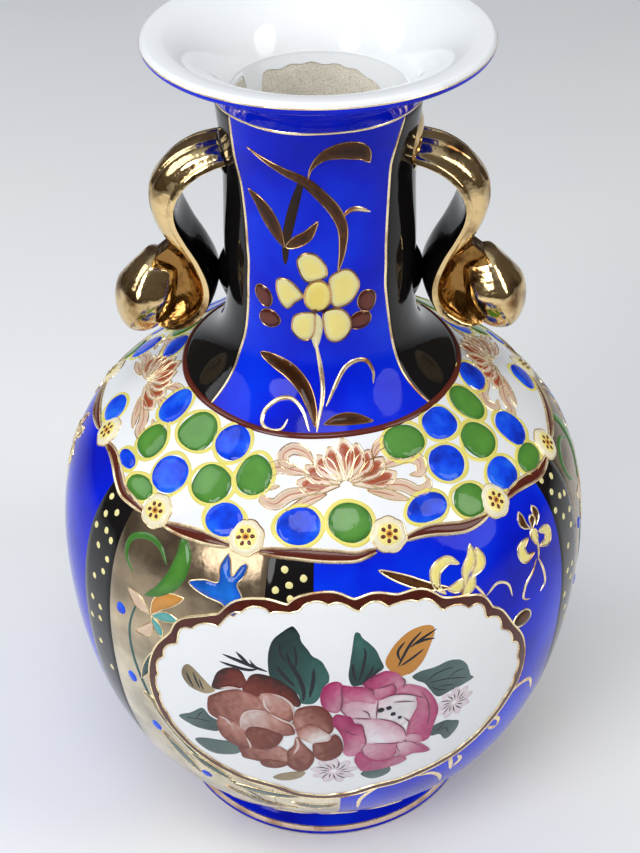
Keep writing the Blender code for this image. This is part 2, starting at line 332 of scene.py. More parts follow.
def gilding(name, bright, worn_and_dark_reflection, roughness=0.14, wave=0.4, patch=90.0, dents=330.0, depth=0.15, metallic=1.0):
    """Fired gold: mirror bright, with brownish patches, partly thin places where the glaze below shows
    through and partly painted dark reflection.
    """
    material, tree, shader = new_material(name, roughness, metallic)
    # Cloudy dark patches in the gold's colour: partly wear, partly painted dark reflection.
    cloud = add_noise(tree, patch, 4.0)
    colour = add_ramp(tree, add_range(tree, cloud, 0.0, 1.0), (worn_and_dark_reflection, bright, bright))
    tree.links.new(colour, shader.inputs["Base Color"])
    fine = add_noise(tree, 700.0)
    tree.links.new(add_range(tree, fine, roughness * 0.6, roughness * 1.6), shader.inputs["Roughness"])
    add_bump(tree, shader, add_noise(tree, dents, 3.0), depth, wave)
    return material


def bisque():
    """Unglazed body in the throat: beige, gritty, with dark grains."""
    material, tree, shader = new_material("bisque", 0.85)
    grain = add_noise(tree, 2600.0, 2.0)
    cloud = add_noise(tree, 120.0)
    colour = add_ramp(tree, add_range(tree, grain, 0.0, 1.0),
                      ((0.58, 0.50, 0.39), (0.78, 0.73, 0.62), (0.86, 0.82, 0.73)))
    tree.links.new(tint(tree, colour, cloud, 0.18), shader.inputs["Base Color"])
    add_bump(tree, shader, grain, 0.25, 0.7)
    return material


COBALT = watery("cobalt", ((0.003, 0.006, 0.36), (0.002, 0.014, 0.62), (0.002, 0.040, 0.80)),
                roughness=0.06, patch=32.0, gloss=0.12)
WHITE = enamel("white_glaze", ((0.80, 0.84, 0.88), (0.84, 0.86, 0.88)),
               roughness=0.05, patch=25.0, depth=0.05, wave=0.15, gloss=0.4)
BLACK = enamel("black_glaze", ((0.004, 0.0035, 0.004), (0.008, 0.007, 0.007)),
               roughness=0.06, patch=60.0, depth=0.2, gloss=0.22)
BISQUE = bisque()
# The second colour of each gilding is its dark patches: partly wear, partly painted dark reflection.
GOLD = gilding("gold", (0.76, 0.56, 0.28), (0.18, 0.085, 0.025),
               roughness=0.11, wave=0.6, patch=120.0, dents=120.0, depth=1.1)
# A darker copy of the gold for the hollow dish: painted shade in the recess of the curl.
SHADED_GOLD = gilding("shaded_gold", (0.30, 0.155, 0.045), (0.05, 0.018, 0.006),
                   roughness=0.13, wave=0.7, patch=160.0, dents=170.0, depth=0.9)
BRONZE = gilding("bronze_line", (0.62, 0.38, 0.18), (0.16, 0.06, 0.02),
                 roughness=0.2, wave=0.3, patch=140.0, metallic=0.75)
ROSE_GOLD = gilding("rose_gold", (0.86, 0.66, 0.50), (0.50, 0.30, 0.20),
                    roughness=0.2, wave=0.3, patch=110.0)
GOLD_LINE = gilding("gold_line", (1.0, 0.82, 0.50), (0.40, 0.18, 0.07),
                    roughness=0.22, wave=0.3, patch=110.0, metallic=0.72)
LUSTRE = enamel("lustre", ((0.90, 0.80, 0.58), (0.66, 0.54, 0.36), (0.38, 0.29, 0.19), (0.26, 0.19, 0.12)),
                roughness=0.18, patch=90.0, depth=0.55, wave=0.9, metallic=0.72)
GREEN = enamel("green_enamel", ((0.050, 0.17, 0.030), (0.085, 0.27, 0.040), (0.10, 0.30, 0.045)),
               roughness=0.06, patch=200.0, depth=0.2)
BLUE = watery("blue_enamel", ((0.003, 0.020, 0.38), (0.005, 0.062, 0.78), (0.016, 0.15, 0.86)),
              roughness=0.05, patch=150.0, gloss=0.2)
YELLOW = enamel("yellow_line", ((0.74, 0.64, 0.10), (0.84, 0.76, 0.20)), roughness=0.12)
PALE = enamel("pale_cream", ((0.80, 0.70, 0.42), (0.88, 0.82, 0.60)))
CREAM = enamel("cream_petal", ((0.78, 0.74, 0.44), (0.93, 0.82, 0.28), (0.95, 0.74, 0.14)))
BROWN = enamel("brown_enamel", ((0.016, 0.006, 0.002), (0.060, 0.020, 0.006), (0.150, 0.056, 0.016)),
               patch=160.0, depth=0.5, gloss=0.18)
SKY = enamel("sky_blue", ((0.006, 0.055, 0.45), (0.016, 0.19, 0.80)),
             roughness=0.06, patch=200.0, depth=0.45)
ORANGE = enamel("orange_touch", ((0.55, 0.16, 0.02), (0.80, 0.42, 0.06)), roughness=0.08)
WINE = enamel("wine_line", ((0.040, 0.008, 0.006), (0.15, 0.026, 0.014)), roughness=0.08)
IRON = enamel("iron_red", ((0.62, 0.30, 0.20), (0.42, 0.10, 0.045), (0.36, 0.07, 0.03)), roughness=0.08)
TAN = enamel("tan_wash", ((0.20, 0.15, 0.08), (0.42, 0.34, 0.20)), roughness=0.08, patch=170.0, depth=0.3)
PEACH = enamel("peach_wash", ((0.80, 0.66, 0.52), (0.64, 0.42, 0.28)), roughness=0.08)
LEAF = enamel("leaf_green", ((0.008, 0.022, 0.026), (0.014, 0.060, 0.055), (0.035, 0.135, 0.12)),
              patch=170.0, depth=0.25)
SAGE = enamel("grey_leaf", ((0.045, 0.085, 0.090), (0.10, 0.17, 0.16)),
              roughness=0.08, patch=150.0, depth=0.25)
OCHRE = enamel("ochre", ((0.50, 0.20, 0.03), (0.62, 0.29, 0.06)))
INK = enamel("ink", ((0.006, 0.008, 0.012), (0.012, 0.014, 0.022)), roughness=0.10)
TEAL = enamel("teal", ((0.05, 0.28, 0.28), (0.16, 0.48, 0.46)), roughness=0.08)
ROSE = enamel("rose_pink", ((0.34, 0.010, 0.10), (0.48, 0.075, 0.20), (0.58, 0.23, 0.34),
                            (0.74, 0.51, 0.61), (0.82, 0.80, 0.84)), patch=180.0, depth=0.22)
RUST = enamel("rose_rust", ((0.030, 0.004, 0.003), (0.16, 0.018, 0.009), (0.20, 0.050, 0.034),
                            (0.43, 0.185, 0.145), (0.62, 0.42, 0.38), (0.80, 0.78, 0.76)),
              patch=180.0, depth=0.22)
PLUM = enamel("plum_line", ((0.13, 0.030, 0.060), (0.20, 0.060, 0.10)), roughness=0.08)


# ---------------------------------------------------------------- building pieces

def finish_piece(name, bm, materials):
    """Turn a bmesh into a smooth piece that rides on the vase; edges past 40 degrees stay crisp."""
    mesh = bpy.data.meshes.new(name)
    bm.to_mesh(mesh)
    bm.free()
    for material in materials:
        mesh.materials.append(material)
    mesh.shade_smooth()
    mesh.set_sharp_from_angle(angle=math.radians(40.0))
    piece = bpy.data.objects.new(name, mesh)
    bpy.context.scene.collection.objects.link(piece)
    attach(piece, "root")
    return piece


def turned(name, rings, materials, node, closed=True):
    """Spin (radius, height, material index) stations around the axis; the index paints the band after it."""
    bm = bmesh.new()
    tone = bm.verts.layers.float.new("tone")
    swings = 2.0 * math.pi * np.arange(TURNS) / TURNS
    loops = []
    for radius, height, _ in rings:
        if radius <= 0.0:
            loops.append([bm.verts.new((0.0, 0.0, height * MM))])
        else:
            loops.append([bm.verts.new((radius * MM * math.sin(a), -radius * MM * math.cos(a), height * MM))
                          for a in swings])
    for vert in bm.verts:
        vert[tone] = 0.7
    pairs = list(zip(loops, loops[1:] + loops[:1], rings)) if closed else list(zip(loops, loops[1:], rings))
    for first, second, (_, _, index) in pairs:
        if len(first) == 1 and len(second) == 1:
            continue
        for k in range(TURNS):
            after = (k + 1) % TURNS
            if len(first) == 1:
                face = bm.faces.new((first[0], second[after], second[k]))
            elif len(second) == 1:
                face = bm.faces.new((first[k], first[after], second[0]))
            else:
                face = bm.faces.new((first[k], first[after], second[after], second[k]))
            face.material_index = index
    piece = finish_piece(name, bm, materials)
    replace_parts(piece, node)
    return piece


class Layer:
    """Painted shapes that share one material and surface, gathered into one piece."""

    def __init__(self, name, material, slot="body_glaze", surface=OUTSIDE):
        self.name = name
        self.material = material
        self.slot = slot
        self.surface = surface
        self.bm = bmesh.new()
        self.tone = self.bm.verts.layers.float.new("tone")

    def add(self, azimuth, s, lift, faces, tone):
        """Lay points and faces on the surface, each point with its place in the colour ramp."""
        verts = []
        for point, value in zip(self.surface.place(azimuth, s, lift), np.broadcast_to(tone, len(azimuth))):
            vert = self.bm.verts.new(point)
            vert[self.tone] = value
            verts.append(vert)
        for face in faces:
            corners = [verts[i] for i in face]
            self.bm.faces.new(corners if self.surface.facing > 0.0 else corners[::-1])

    def make(self):
        """Turn the gathered shapes into a piece."""
        return finish_piece(self.name, self.bm, [self.material])


def nearest_edge(points, loops):
    """Distance from each point to the outlines."""
    best = np.full(len(points), 1e9)
    for loop in loops:
        start = loop
        span = np.roll(loop, -1, axis=0) - loop
        square = np.maximum((span ** 2).sum(1), 1e-12)
        away = points[:, None, :] - start[None]
        t = np.clip((away * span[None]).sum(2) / square[None], 0.0, 1.0)
        gap = np.linalg.norm(away - t[..., None] * span[None], axis=2)
        best = np.minimum(best, gap.min(1))
    return best


def within(points, loops):
    """True for points inside the outlines, by the even-odd rule."""
    inside = np.zeros(len(points), bool)
    for loop in loops:
        x0, y0 = loop.T
        x1, y1 = np.roll(loop, -1, axis=0).T
        px = points[:, 0][:, None]
        py = points[:, 1][:, None]
        straddle = (y0 > py) != (y1 > py)
        cross = (x1 - x0) * (py - y0) / np.where(y1 == y0, 1e-12, y1 - y0) + x0
        inside ^= (np.count_nonzero(straddle & (px < cross), axis=1) % 2).astype(bool)
    return inside


def inset_points(loop, depth):
    """Points a little way in from both sides of an outline."""
    ahead = np.roll(loop, -1, axis=0) - np.roll(loop, 1, axis=0)
    ahead /= np.maximum(np.linalg.norm(ahead, axis=1), 1e-9)[:, None]
    side = np.column_stack((-ahead[:, 1], ahead[:, 0]))
    return np.vstack((loop + depth * side, loop - depth * side))


def fill_mesh(loops, spacing, shoulder):
    """Points and triangles that fill flat outlines, with points inside so that the shape can bend."""
    outline = np.vstack(loops)
    edges = []
    start = 0
    for loop in loops:
        count = len(loop)
        edges += [(start + i, start + (i + 1) % count) for i in range(count)]
        start += count
    low = outline.min(0)
    high = outline.max(0)
    rows = []
    for j, y in enumerate(np.arange(low[1] + spacing / 2.0, high[1], spacing * 0.87)):
        xs = np.arange(low[0] + spacing * (0.25 + 0.5 * (j % 2)), high[0], spacing)
        rows.append(np.column_stack((xs, np.full(len(xs), y))))
    grid = np.vstack(rows) if rows else np.zeros((0, 2))
    grid = grid[within(grid, loops)]
    grid = grid[nearest_edge(grid, loops) > max(0.45 * spacing, 1.3 * shoulder)]
    rim = np.vstack([inset_points(loop, shoulder) for loop in loops])
    rim = rim[within(rim, loops)]
    rim = rim[nearest_edge(rim, loops) > 0.75 * shoulder]
    points = [Vector(p) for p in np.vstack((outline, rim, grid))]
    verts, _, faces, _, _, _ = delaunay_2d_cdt(points, edges, [], 0, 1e-4)
    flat = np.array([(v.x, v.y) for v in verts])
    faces = np.array(faces)
    keep = within(flat[faces].mean(1), loops)
    return flat, faces[keep]


def fill(layer, outlines, base=0.0, top=0.07, shoulder=0.25, dome=0.0, spacing=2.2, tone=(0.7, 0.7),
         reach=2.0):
    """Lay a filled shape within (azimuth, s) outlines, rising over its shoulder and then domed."""
    loops = [np.array(loop, float) for loop in outlines]
    middle = np.vstack(loops).mean(0)
    scale = np.array((float(layer.surface.degree(middle[1])), 1.0))
    flat, faces = fill_mesh([loop * scale for loop in loops], spacing, shoulder)
    depth = nearest_edge(flat, [loop * scale for loop in loops])
    rounded = np.sqrt(1.0 - (1.0 - np.clip(depth / shoulder, 0.0, 1.0)) ** 2)
    crown = np.sqrt(1.0 - (1.0 - np.clip(depth / reach, 0.0, 1.0)) ** 2)
    lift = base - 0.02 + (top - base + 0.02) * rounded + dome * crown
    shade = tone[0] + (tone[1] - tone[0]) * np.clip(depth / reach, 0.0, 1.0)
    places = flat / scale
    layer.add(places[:, 0], places[:, 1], lift, faces, shade)


# Width of a brush line along its length, t running from 0 to 1
WIDTH_SHAPES = {
    "both": lambda t: np.maximum(np.sin(math.pi * t), 0.0) ** 0.6,
    "swell": lambda t: 0.45 + 0.55 * np.sin(math.pi * t),
    "none": lambda t: np.ones_like(t),
}
# Cross-section of a raised brush line: (share of its half width, share of its height)
BRUSH_SECTION = ((-1.0, 0.0), (-0.7, 0.7), (0.0, 1.0), (0.7, 0.7), (1.0, 0.0))


def sheet_faces(rows, count, around):
    """Quads of a sheet of points laid row by row, count to a row; around joins the ends of each row."""
    faces = []
    for j in range(rows - 1):
        for i in range(count if around else count - 1):
            after = (i + 1) % count
            faces.append((j * count + i, j * count + after, (j + 1) * count + after, (j + 1) * count + i))
    return faces


def stroke(layer, points, width, height=0.25, base=0.05, taper="none", closed=False, step=1.0, tone=0.7):
    """Raised brush line through (azimuth, s) points."""
    surface = layer.surface
    guide = np.array(points, float)
    scale = np.array((float(surface.degree(guide[:, 1].mean())), 1.0))
    path = smooth_path(guide * scale, step, closed) / scale
    degree = surface.degree(path[:, 1])
    flat = np.column_stack((path[:, 0] * degree, path[:, 1]))
    ahead = np.roll(path, -1, axis=0) - np.roll(path, 1, axis=0)
    if not closed:
        ahead[0] = path[1] - path[0]
        ahead[-1] = path[-1] - path[-2]
    ahead[:, 0] *= degree
    ahead /= np.maximum(np.linalg.norm(ahead, axis=1), 1e-9)[:, None]
    count = len(flat)
    t = np.linspace(0.0, 1.0, count)
    half = 0.5 * width * WIDTH_SHAPES[taper](t)
    if not closed:
        cap = np.minimum(np.arange(count), np.arange(count)[::-1])
        half = half * np.clip(0.35 + 0.65 * cap / 1.5, 0.0, 1.0)
    half = np.maximum(half, 0.06)
    azimuths, along, lifts = [], [], []
    for offset, rise in BRUSH_SECTION:
        azimuths.append(path[:, 0] - ahead[:, 1] * offset * half / degree)
        along.append(path[:, 1] + ahead[:, 0] * offset * half)
        lifts.append(base - 0.03 + rise * (height + 0.03) * np.clip(half / (0.35 * width), 0.25, 1.0))
    faces = sheet_faces(len(BRUSH_SECTION), count, closed)
    layer.add(np.concatenate(azimuths), np.concatenate(along), np.concatenate(lifts), faces, tone)


def blob(azimuth, s, half_width, half_height, turn=0.0, wobble=0.04, square=2.0, surface=OUTSIDE):
    """Hand-drawn round outline in (azimuth, s); sizes in mm, turn in degrees."""
    swings = np.radians(np.arange(0.0, 360.0, 11.25))
    phases = RNG.uniform(0.0, 2.0 * math.pi, 3)
    uneven = 1.0 + wobble * sum(np.sin(swings * (k + 2) + phases[k]) / (k + 1) for k in range(3))
    x = half_width * np.sign(np.cos(swings)) * np.abs(np.cos(swings)) ** (2.0 / square) * uneven
    y = half_height * np.sign(np.sin(swings)) * np.abs(np.sin(swings)) ** (2.0 / square) * uneven
    lean = math.radians(turn)
    across = x * math.cos(lean) - y * math.sin(lean)
    up = x * math.sin(lean) + y * math.cos(lean)
    return np.column_stack((azimuth + across / float(surface.degree(s)), s + up))


def leaf_shape(spine, width, fullest=0.45, surface=OUTSIDE):
    """Pointed outline around a (azimuth, s) spine, widest at the given share of its length."""
    scale = np.array((float(surface.degree(np.array(spine, float)[:, 1].mean())), 1.0))
    path = smooth_path(np.array(spine, float) * scale, 1.3)
    ahead = np.gradient(path, axis=0)
    ahead /= np.maximum(np.linalg.norm(ahead, axis=1), 1e-9)[:, None]
    side = np.column_stack((-ahead[:, 1], ahead[:, 0]))
    t = np.linspace(0.0, 1.0, len(path))
    power = math.log(0.5) / math.log(fullest)
    half = 0.5 * width * np.sin(math.pi * t ** power) ** 0.8
    left = path + side * half[:, None]
    right = path - side * half[:, None]
    return np.vstack((path[:1], left[1:-1], path[-1:], right[1:-1][::-1])) / scale


def ring(layer, s, width, height, base, wobble=0.0):
    """Brush line right round the vase."""
    degree = float(layer.surface.degree(s))
    count = int(360.0 * degree / 1.6)
    azimuth = np.linspace(0.0, 360.0, count, endpoint=False)
    knots = np.arange(0.0, 366.0, 6.0)
    sway = np.sin(np.radians(3.0 * knots)) + np.sin(np.radians(7.0 * knots + 40.0))
    along = s + wobble * np.interp(azimuth, knots, sway)
    half = 0.5 * width
    azimuths, places, lifts = [], [], []
    for offset, rise in BRUSH_SECTION:
        azimuths.append(azimuth)
        places.append(along + offset * half)
        lifts.append(np.full(count, base - 0.03 + rise * (height + 0.03)))
    faces = sheet_faces(len(BRUSH_SECTION), count, True)
    layer.add(np.concatenate(azimuths), np.concatenate(places), np.concatenate(lifts), faces, 0.7)


def grid_shares(length, step):
    """Shares 0 to 1 across a patch, with a close pair at each end so that its edge is crisp."""
    count = max(2, int(length / step))
    edge = min(0.15 / max(length, 0.6), 0.2)
    return np.concatenate(([0.0], np.linspace(edge, 1.0 - edge, count), [1.0]))


def band(layer, left, right, low, high, top, step=2.0, tone=0.7):
    """Patch from azimuth left to right and from s low to high.

    Left and right may be functions of s, and low and high functions of the share across.
    A patch of 360 degrees closes on itself.
    """
    def value(rule, x):
        return rule(x) if callable(rule) else rule

    middle = 0.5 * (value(low, 0.5) + value(high, 0.5))
    turn = abs(value(right, middle) - value(left, middle))
    around = abs(turn - 360.0) < 1e-6
    length = turn * float(layer.surface.degree(middle))
    across = np.arange(int(length / step)) / int(length / step) if around else grid_shares(length, step)
    upward = grid_shares(abs(value(high, 0.5) - value(low, 0.5)), step)
    azimuths, along, lifts = [], [], []
    for j, rise in enumerate(upward):
        for i, share in enumerate(across):
            bottom = value(low, share)
            s = bottom + (value(high, share) - bottom) * rise
            azimuths.append(value(left, s) + (value(right, s) - value(left, s)) * share)
            along.append(s)
            rim = j in (0, len(upward) - 1) or (not around and i in (0, len(across) - 1))
            lifts.append(-0.03 if rim else top)
    faces = sheet_faces(len(upward), len(across), around)
    along = np.array(along)
    layer.add(np.array(azimuths), along, np.array(lifts), faces, tone(along) if callable(tone) else tone)


# ---------------------------------------------------------------- turned sections

def make_foot():
    """Foot ring with a rounded outer bulge and a bare resting face."""
    bulge = smooth_path([(FOOT_RADIUS - 1.6, 0.0), (FOOT_RADIUS - 0.2, 0.7), (FOOT_RADIUS, 2.4),
                         (FOOT_RADIUS - 0.9, 5.0), (FOOT_RADIUS - 3.2, FOOT_TOP)], 0.5)
    rings = [(r, z, 0) for r, z in bulge]
    rings += [(46.0, FOOT_TOP + 0.2, 0), (43.2, FOOT_TOP, 1), (44.0, 0.8, 1), (44.8, 0.0, 1)]
    turned("foot_glazed", rings, [COBALT, BISQUE], "foot_ring")
    return Surface(bulge)


def make_belly():
    """Round body with its floor; the inside is bare."""
    bottom = CONTOUR[0][0]
    floor = bottom + 5.0
    outer = [(r, z, 0) for r, z in wall_contour(bottom, NECK_JOINT, 120)]
    inner = [(r, z, 1) for r, z in inner_contour(24.0, NECK_JOINT, 60)[::-1] if floor + 2.0 < z < NECK_JOINT]
    rings = [(0.0, bottom, 0)] + outer + inner + [(44.0, floor, 1), (0.0, floor, 1)]
    turned("belly_glazed", rings, [COBALT, BISQUE], "belly")


def make_neck():
    """Neck, bare inside up to the joint with the flare."""
    outer = [(r, z, 0 if z < MOUTH_JOINT else 2) for r, z in wall_contour(NECK_JOINT, MOUTH_JOINT, 90)]
    inner = [(r, z, 2 if z > MOUTH_JOINT - 1.5 else 1)
             for r, z in inner_contour(NECK_JOINT + 3.0, MOUTH_JOINT, 60)[::-1]]
    turned("neck_glazed", outer + inner, [COBALT, BISQUE, WHITE], "neck")


def make_mouth():
    """Trumpet mouth: cobalt below, white over the lip and inside."""
    under = [(r, z, 0) for r, z in flare_contour(24)]
    lip = [(r, z, 0 if k < 11 else 1) for k, (r, z) in enumerate(lip_contour(21))]
    inside = [(r, z, 1) for r, z in throat_contour(40)]
    turned("mouth_glazed", under[:-1] + lip + inside, [COBALT, WHITE], "mouth_flare")


# ---------------------------------------------------------------- handles

def strap_thickness(across, share):
    """Thickness of the strap at across (-1 to 1) and share of its length: fluted, with rounded rims."""
    shares, rises = np.array(STRAP_CROWN).T
    crown = float(np.interp(share, shares, rises))
    place = abs(across)
    edge = math.sqrt(max(0.0, 1.0 - place ** 9))
    hill = max(0.0, 1.0 - (place / 0.86) ** 2.4) ** 0.7
    flute = 0.3 + 0.5 * min(1.0, crown / 2.5)
    grooves = math.exp(-((place - 0.84) / 0.045) ** 2) + 0.9 * math.exp(-((place - 0.36) / 0.07) ** 2)
    tail = 0.25 + 0.75 * min(1.0, (1.0 - share) / 0.14)
    return 0.4 + (2.4 + crown * hill - flute * grooves) * edge * tail


def make_strap(side, name):
    """Fluted band swept along the handle's face; its inner side is black, a painted reflection of the black
    neck, and bulges a little lower down.
    """
    path = smooth_path(STRAP_FACE, 0.9)
    half = 11.0
    stations = np.concatenate(([-1.0], np.linspace(-0.985, 0.985, 64), [1.0]))
    bm = bmesh.new()
    rings = []
    for i, point in enumerate(path):
        ahead = path[min(i + 1, len(path) - 1)] - path[max(i - 1, 0)]
        ahead = ahead / np.linalg.norm(ahead)
        out = np.array((-ahead[1], ahead[0]))
        share = i / (len(path) - 1)
        width = half * (1.0 - 0.12 * math.exp(-share / 0.08)
                        - 0.08 * max(0.0, 1.0 - abs(share - 0.5) / 0.25)
                        - 0.35 * math.exp(-(1.0 - share) / 0.05))
        bulge = 0.3 + 1.9 * math.exp(-((share - 0.64) / 0.13) ** 2)
        outer = [(a * width, strap_thickness(a, share)) for a in stations]
        inner = [(a * width, 0.5 * a ** 8 - bulge * (1.0 - a ** 2)) for a in stations[::-1]]
        ring_verts = []
        for across, thick in outer + inner:
            x, z = point + thick * out
            ring_verts.append(bm.verts.new((side * x * MM, across * MM, z * MM)))
        rings.append(ring_verts)
    count = len(stations)
    for first, second in zip(rings, rings[1:]):
        for k in range(len(first)):
            after = (k + 1) % len(first)
            face = bm.faces.new((first[k], first[after], second[after], second[k]))
            # The inner side's faces get the black glaze: painted reflection of the black neck on the gilt
            # strap.
            face.material_index = 1 if count + 2 <= k < 2 * count - 3 else 0
    bm.faces.new(rings[0])
    bm.faces.new(rings[-1])
    bmesh.ops.recalc_face_normals(bm, faces=bm.faces)
    return finish_piece(name, bm, [GOLD, BLACK])


def make_dish(side, name):
    """Hollow side of the curl: it falls from the strap's rim towards the plane of the handle, in a darker
    gold that is painted shade in the hollow.
    """
    face = smooth_path(STRAP_FACE, 1.2)
    rim = [p for i, p in enumerate(face) if i > 0.52 * len(face)]
    centre = np.array((47.0, 182.0))
    outline = [p + 1.2 * (centre - p) / np.linalg.norm(centre - p) for p in rim]
    outline += [np.array((48.5, 180.0)), np.array((47.0, 190.0)), np.array((41.5, 194.5))]
    loop = np.array(outline)
    flat, faces = fill_mesh([loop], 1.1, 0.6)
    rim_gap = nearest_edge(flat, [np.array(rim + rim[::-1])])
    hollow = 9.8 - 6.3 * np.sin(np.clip(rim_gap / 8.0, 0.0, 1.0) * math.pi / 2.0)
    bm = bmesh.new()
    near = [bm.verts.new((side * x * MM, -y * MM, z * MM)) for (x, z), y in zip(flat, hollow)]
    far = [bm.verts.new((side * x * MM, y * MM, z * MM)) for (x, z), y in zip(flat, hollow)]
    for a, b, c in faces:
        bm.faces.new((near[a], near[b], near[c]))
        bm.faces.new((far[c], far[b], far[a]))
    border = [e for e in bm.edges if e.is_boundary]
    near_set = set(near)
    index = {v: i for i, v in enumerate(near)}
    for edge in border:
        a, b = edge.verts
        if a in near_set and b in near_set:
            bm.faces.new((a, b, far[index[b]], far[index[a]]))
    bmesh.ops.recalc_face_normals(bm, faces=bm.faces)
    return finish_piece(name, bm, [SHADED_GOLD])


def make_bud(side, name):
    """Bulbous bud with a blunt top and a pointed lower outer corner."""
    bm = bmesh.new()
    bmesh.ops.create_uvsphere(bm, u_segments=64, v_segments=40, radius=1.0)
    tilt = math.radians(-17.0)
    for vert in bm.verts:
        across, depth, up = vert.co
        if up > 0.52:
            up = 0.52 + 0.25 * (up - 0.52)
        swell = 1.0 - 0.12 * up
        narrow = 1.0 - 0.55 * max(0.0, up)
        if across > 0.0:
            across *= 1.0 - 0.65 * max(0.0, up + 0.1)
        facet = 1.0 + 0.032 * math.cos(5.0 * math.atan2(depth, across)) * (1.0 - up ** 2)
        facet += 0.018 * math.sin(4.0 * up + 3.0 * across) * math.sin(3.0 * depth + 1.0)
        corner = 1.0 + 0.12 * max(0.0, across) * max(0.0, -up)
        reach = 7.6 if across > 0.0 else 9.0
        x = across * swell * reach * facet * corner - 2.2 * max(0.0, up) ** 2
        y = depth * swell * narrow * 11.6 * facet
        z = up * 15.2
        leaned_x = x * math.cos(tilt) + z * math.sin(tilt)
        leaned_z = z * math.cos(tilt) - x * math.sin(tilt)
        vert.co = (side * (48.2 + leaned_x) * MM, y * MM, (182.6 + leaned_z) * MM)
    bmesh.ops.recalc_face_normals(bm, faces=bm.faces)
    return finish_piece(name, bm, [GOLD])


def make_pad(side, name, height, half_height, half_width, thickness, slope, material):
    """Mound of slip smeared over the neck around a handle's root, rising over the given slope."""
    bm = bmesh.new()
    centre = 90.0 * side
    s0 = OUTSIDE.s_at(height)
    loop = blob(centre, s0, half_width, half_height, wobble=0.05)
    scale = np.array((float(OUTSIDE.degree(s0)), 1.0))
    flat, faces = fill_mesh([loop * scale], 1.0, 0.4)
    depth = nearest_edge(flat, [loop * scale])
    lift = -0.05 + thickness * np.sin(np.clip(depth / slope, 0.0, 1.0) * math.pi / 2.0)
    places = flat / scale
    verts = [bm.verts.new(p) for p in OUTSIDE.place(places[:, 0], places[:, 1], lift)]
    for a, b, c in faces:
        bm.faces.new((verts[a], verts[b], verts[c]))
    return finish_piece(name, bm, [material])


# Slip round the upper roots: height, half height and finish; the right one is gilt nearly up to the flare
CUFFS = {"left": (222.6, 6.4, BLACK), "right": (225.4, 8.4, GOLD)}


def make_handles():
    """Both handles: strap, dish, bud and the slip that joins them to the neck."""
    for side, word in ((-1.0, "left"), (1.0, "right")):
        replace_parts(make_strap(side, "gilt_strap_" + word), "handle_strap_" + word)
        make_dish(side, "gilt_dish_" + word)
        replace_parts(make_bud(side, "gilt_bud_" + word), "handle_bud_" + word)
        height, half_height, material = CUFFS[word]
        cuff = make_pad(side, "cuff_" + word, height, half_height, 10.2, 1.2, 4.2, material)
        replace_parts(cuff, "upper_slip_pad_" + word)
        heel = make_pad(side, "slip_heel_" + word, 185.6, 7.6, 7.0, 2.3, 6.0, BLACK)
        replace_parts(heel, "lower_slip_pad_" + word)


# ---------------------------------------------------------------- painting: panels and collar

def moved_round(points, turn):
    """The same (azimuth, s) points, turn degrees further round the vase."""
    return [(a + turn, s) for a, s in points]


SECTOR = 120.0                    # the belly's panels repeat three times round the vase
PANELS = (("lustre", -49.4, -12.0), ("black", -12.2, -2.0), ("black", 60.0, 70.8))
PANEL_LOW = 22.0
APRON = (-12.0, 3.5, 66.0)        # lustre under the front medallion: left and right azimuth, highest s
APRON_LEAVES = (
    ((-22.0, 51.0), (-13.0, 49.0), (-5.0, 50.0)),
    ((-24.0, 46.0), (-16.0, 39.0), (-7.0, 38.0)),
    ((-8.0, 44.0), (-3.0, 41.0), (2.6, 43.0)),
)

# Collar's lower edge: rosettes sit where the scallops meet (azimuth, s); it repeats after half a turn
HALF = 180.0
ROSETTES = ((-76.0, 146.8), (-43.0, 143.6), (-18.3, 145.8), (15.8, 146.8), (45.5, 144.2), (73.5, 142.0))
SCALLOP = ((-76.0, 145.0), (-66.0, 146.4), (-55.0, 142.0), (-43.0, 141.4), (-31.0, 142.8), (-18.3, 143.0),
           (-5.0, 143.6), (8.0, 142.4), (15.8, 144.4), (25.0, 145.6), (36.0, 142.2), (45.5, 142.8),
           (54.0, 143.4), (64.0, 140.4), (73.5, 140.6), (90.0, 142.2))


def scallop_edge(azimuth):
    """s of the collar's lower edge."""
    knots = np.array(SCALLOP)
    turned_back = (np.asarray(azimuth, float) + 76.0) % HALF - 76.0
    return np.interp(turned_back, np.append(knots[:, 0], 104.0), np.append(knots[:, 1], knots[0, 1]))


def lustre_tone(s):
    """Tone of the lustre by s: cream below, deepening to brown under the collar."""
    return np.clip((s - 84.0) / 58.0, 0.0, 1.0)


def paint_panels():
    """Lustre and black panels, with a lustre apron over the black band below the front medallion."""
    lustre = Layer("lustre_panels", LUSTRE)
    black = Layer("black_bands", BLACK)
    for turn in range(3):
        for colour, left, right in PANELS:
            layer = lustre if colour == "lustre" else black
            start = left + SECTOR * turn
            width = right - left
            band(layer, start, start + width, PANEL_LOW,
                 lambda share, a=start, w=width: float(scallop_edge(a + w * share)) + 1.0, 0.04,
                 tone=lustre_tone)
    left, right, high = APRON
    band(lustre, left, right, PANEL_LOW, lambda share: high, 0.08, tone=lustre_tone)
    lustre.make()
    black.make()


def paint_collar():
    """White ground of the shoulder, from the scallops up to the neck."""
    ground = Layer("white_collar", WHITE)
    band(ground, 0.0, 360.0, lambda share: float(scallop_edge(360.0 * share)), NECK_S + 0.5, 0.09)
    ground.make()


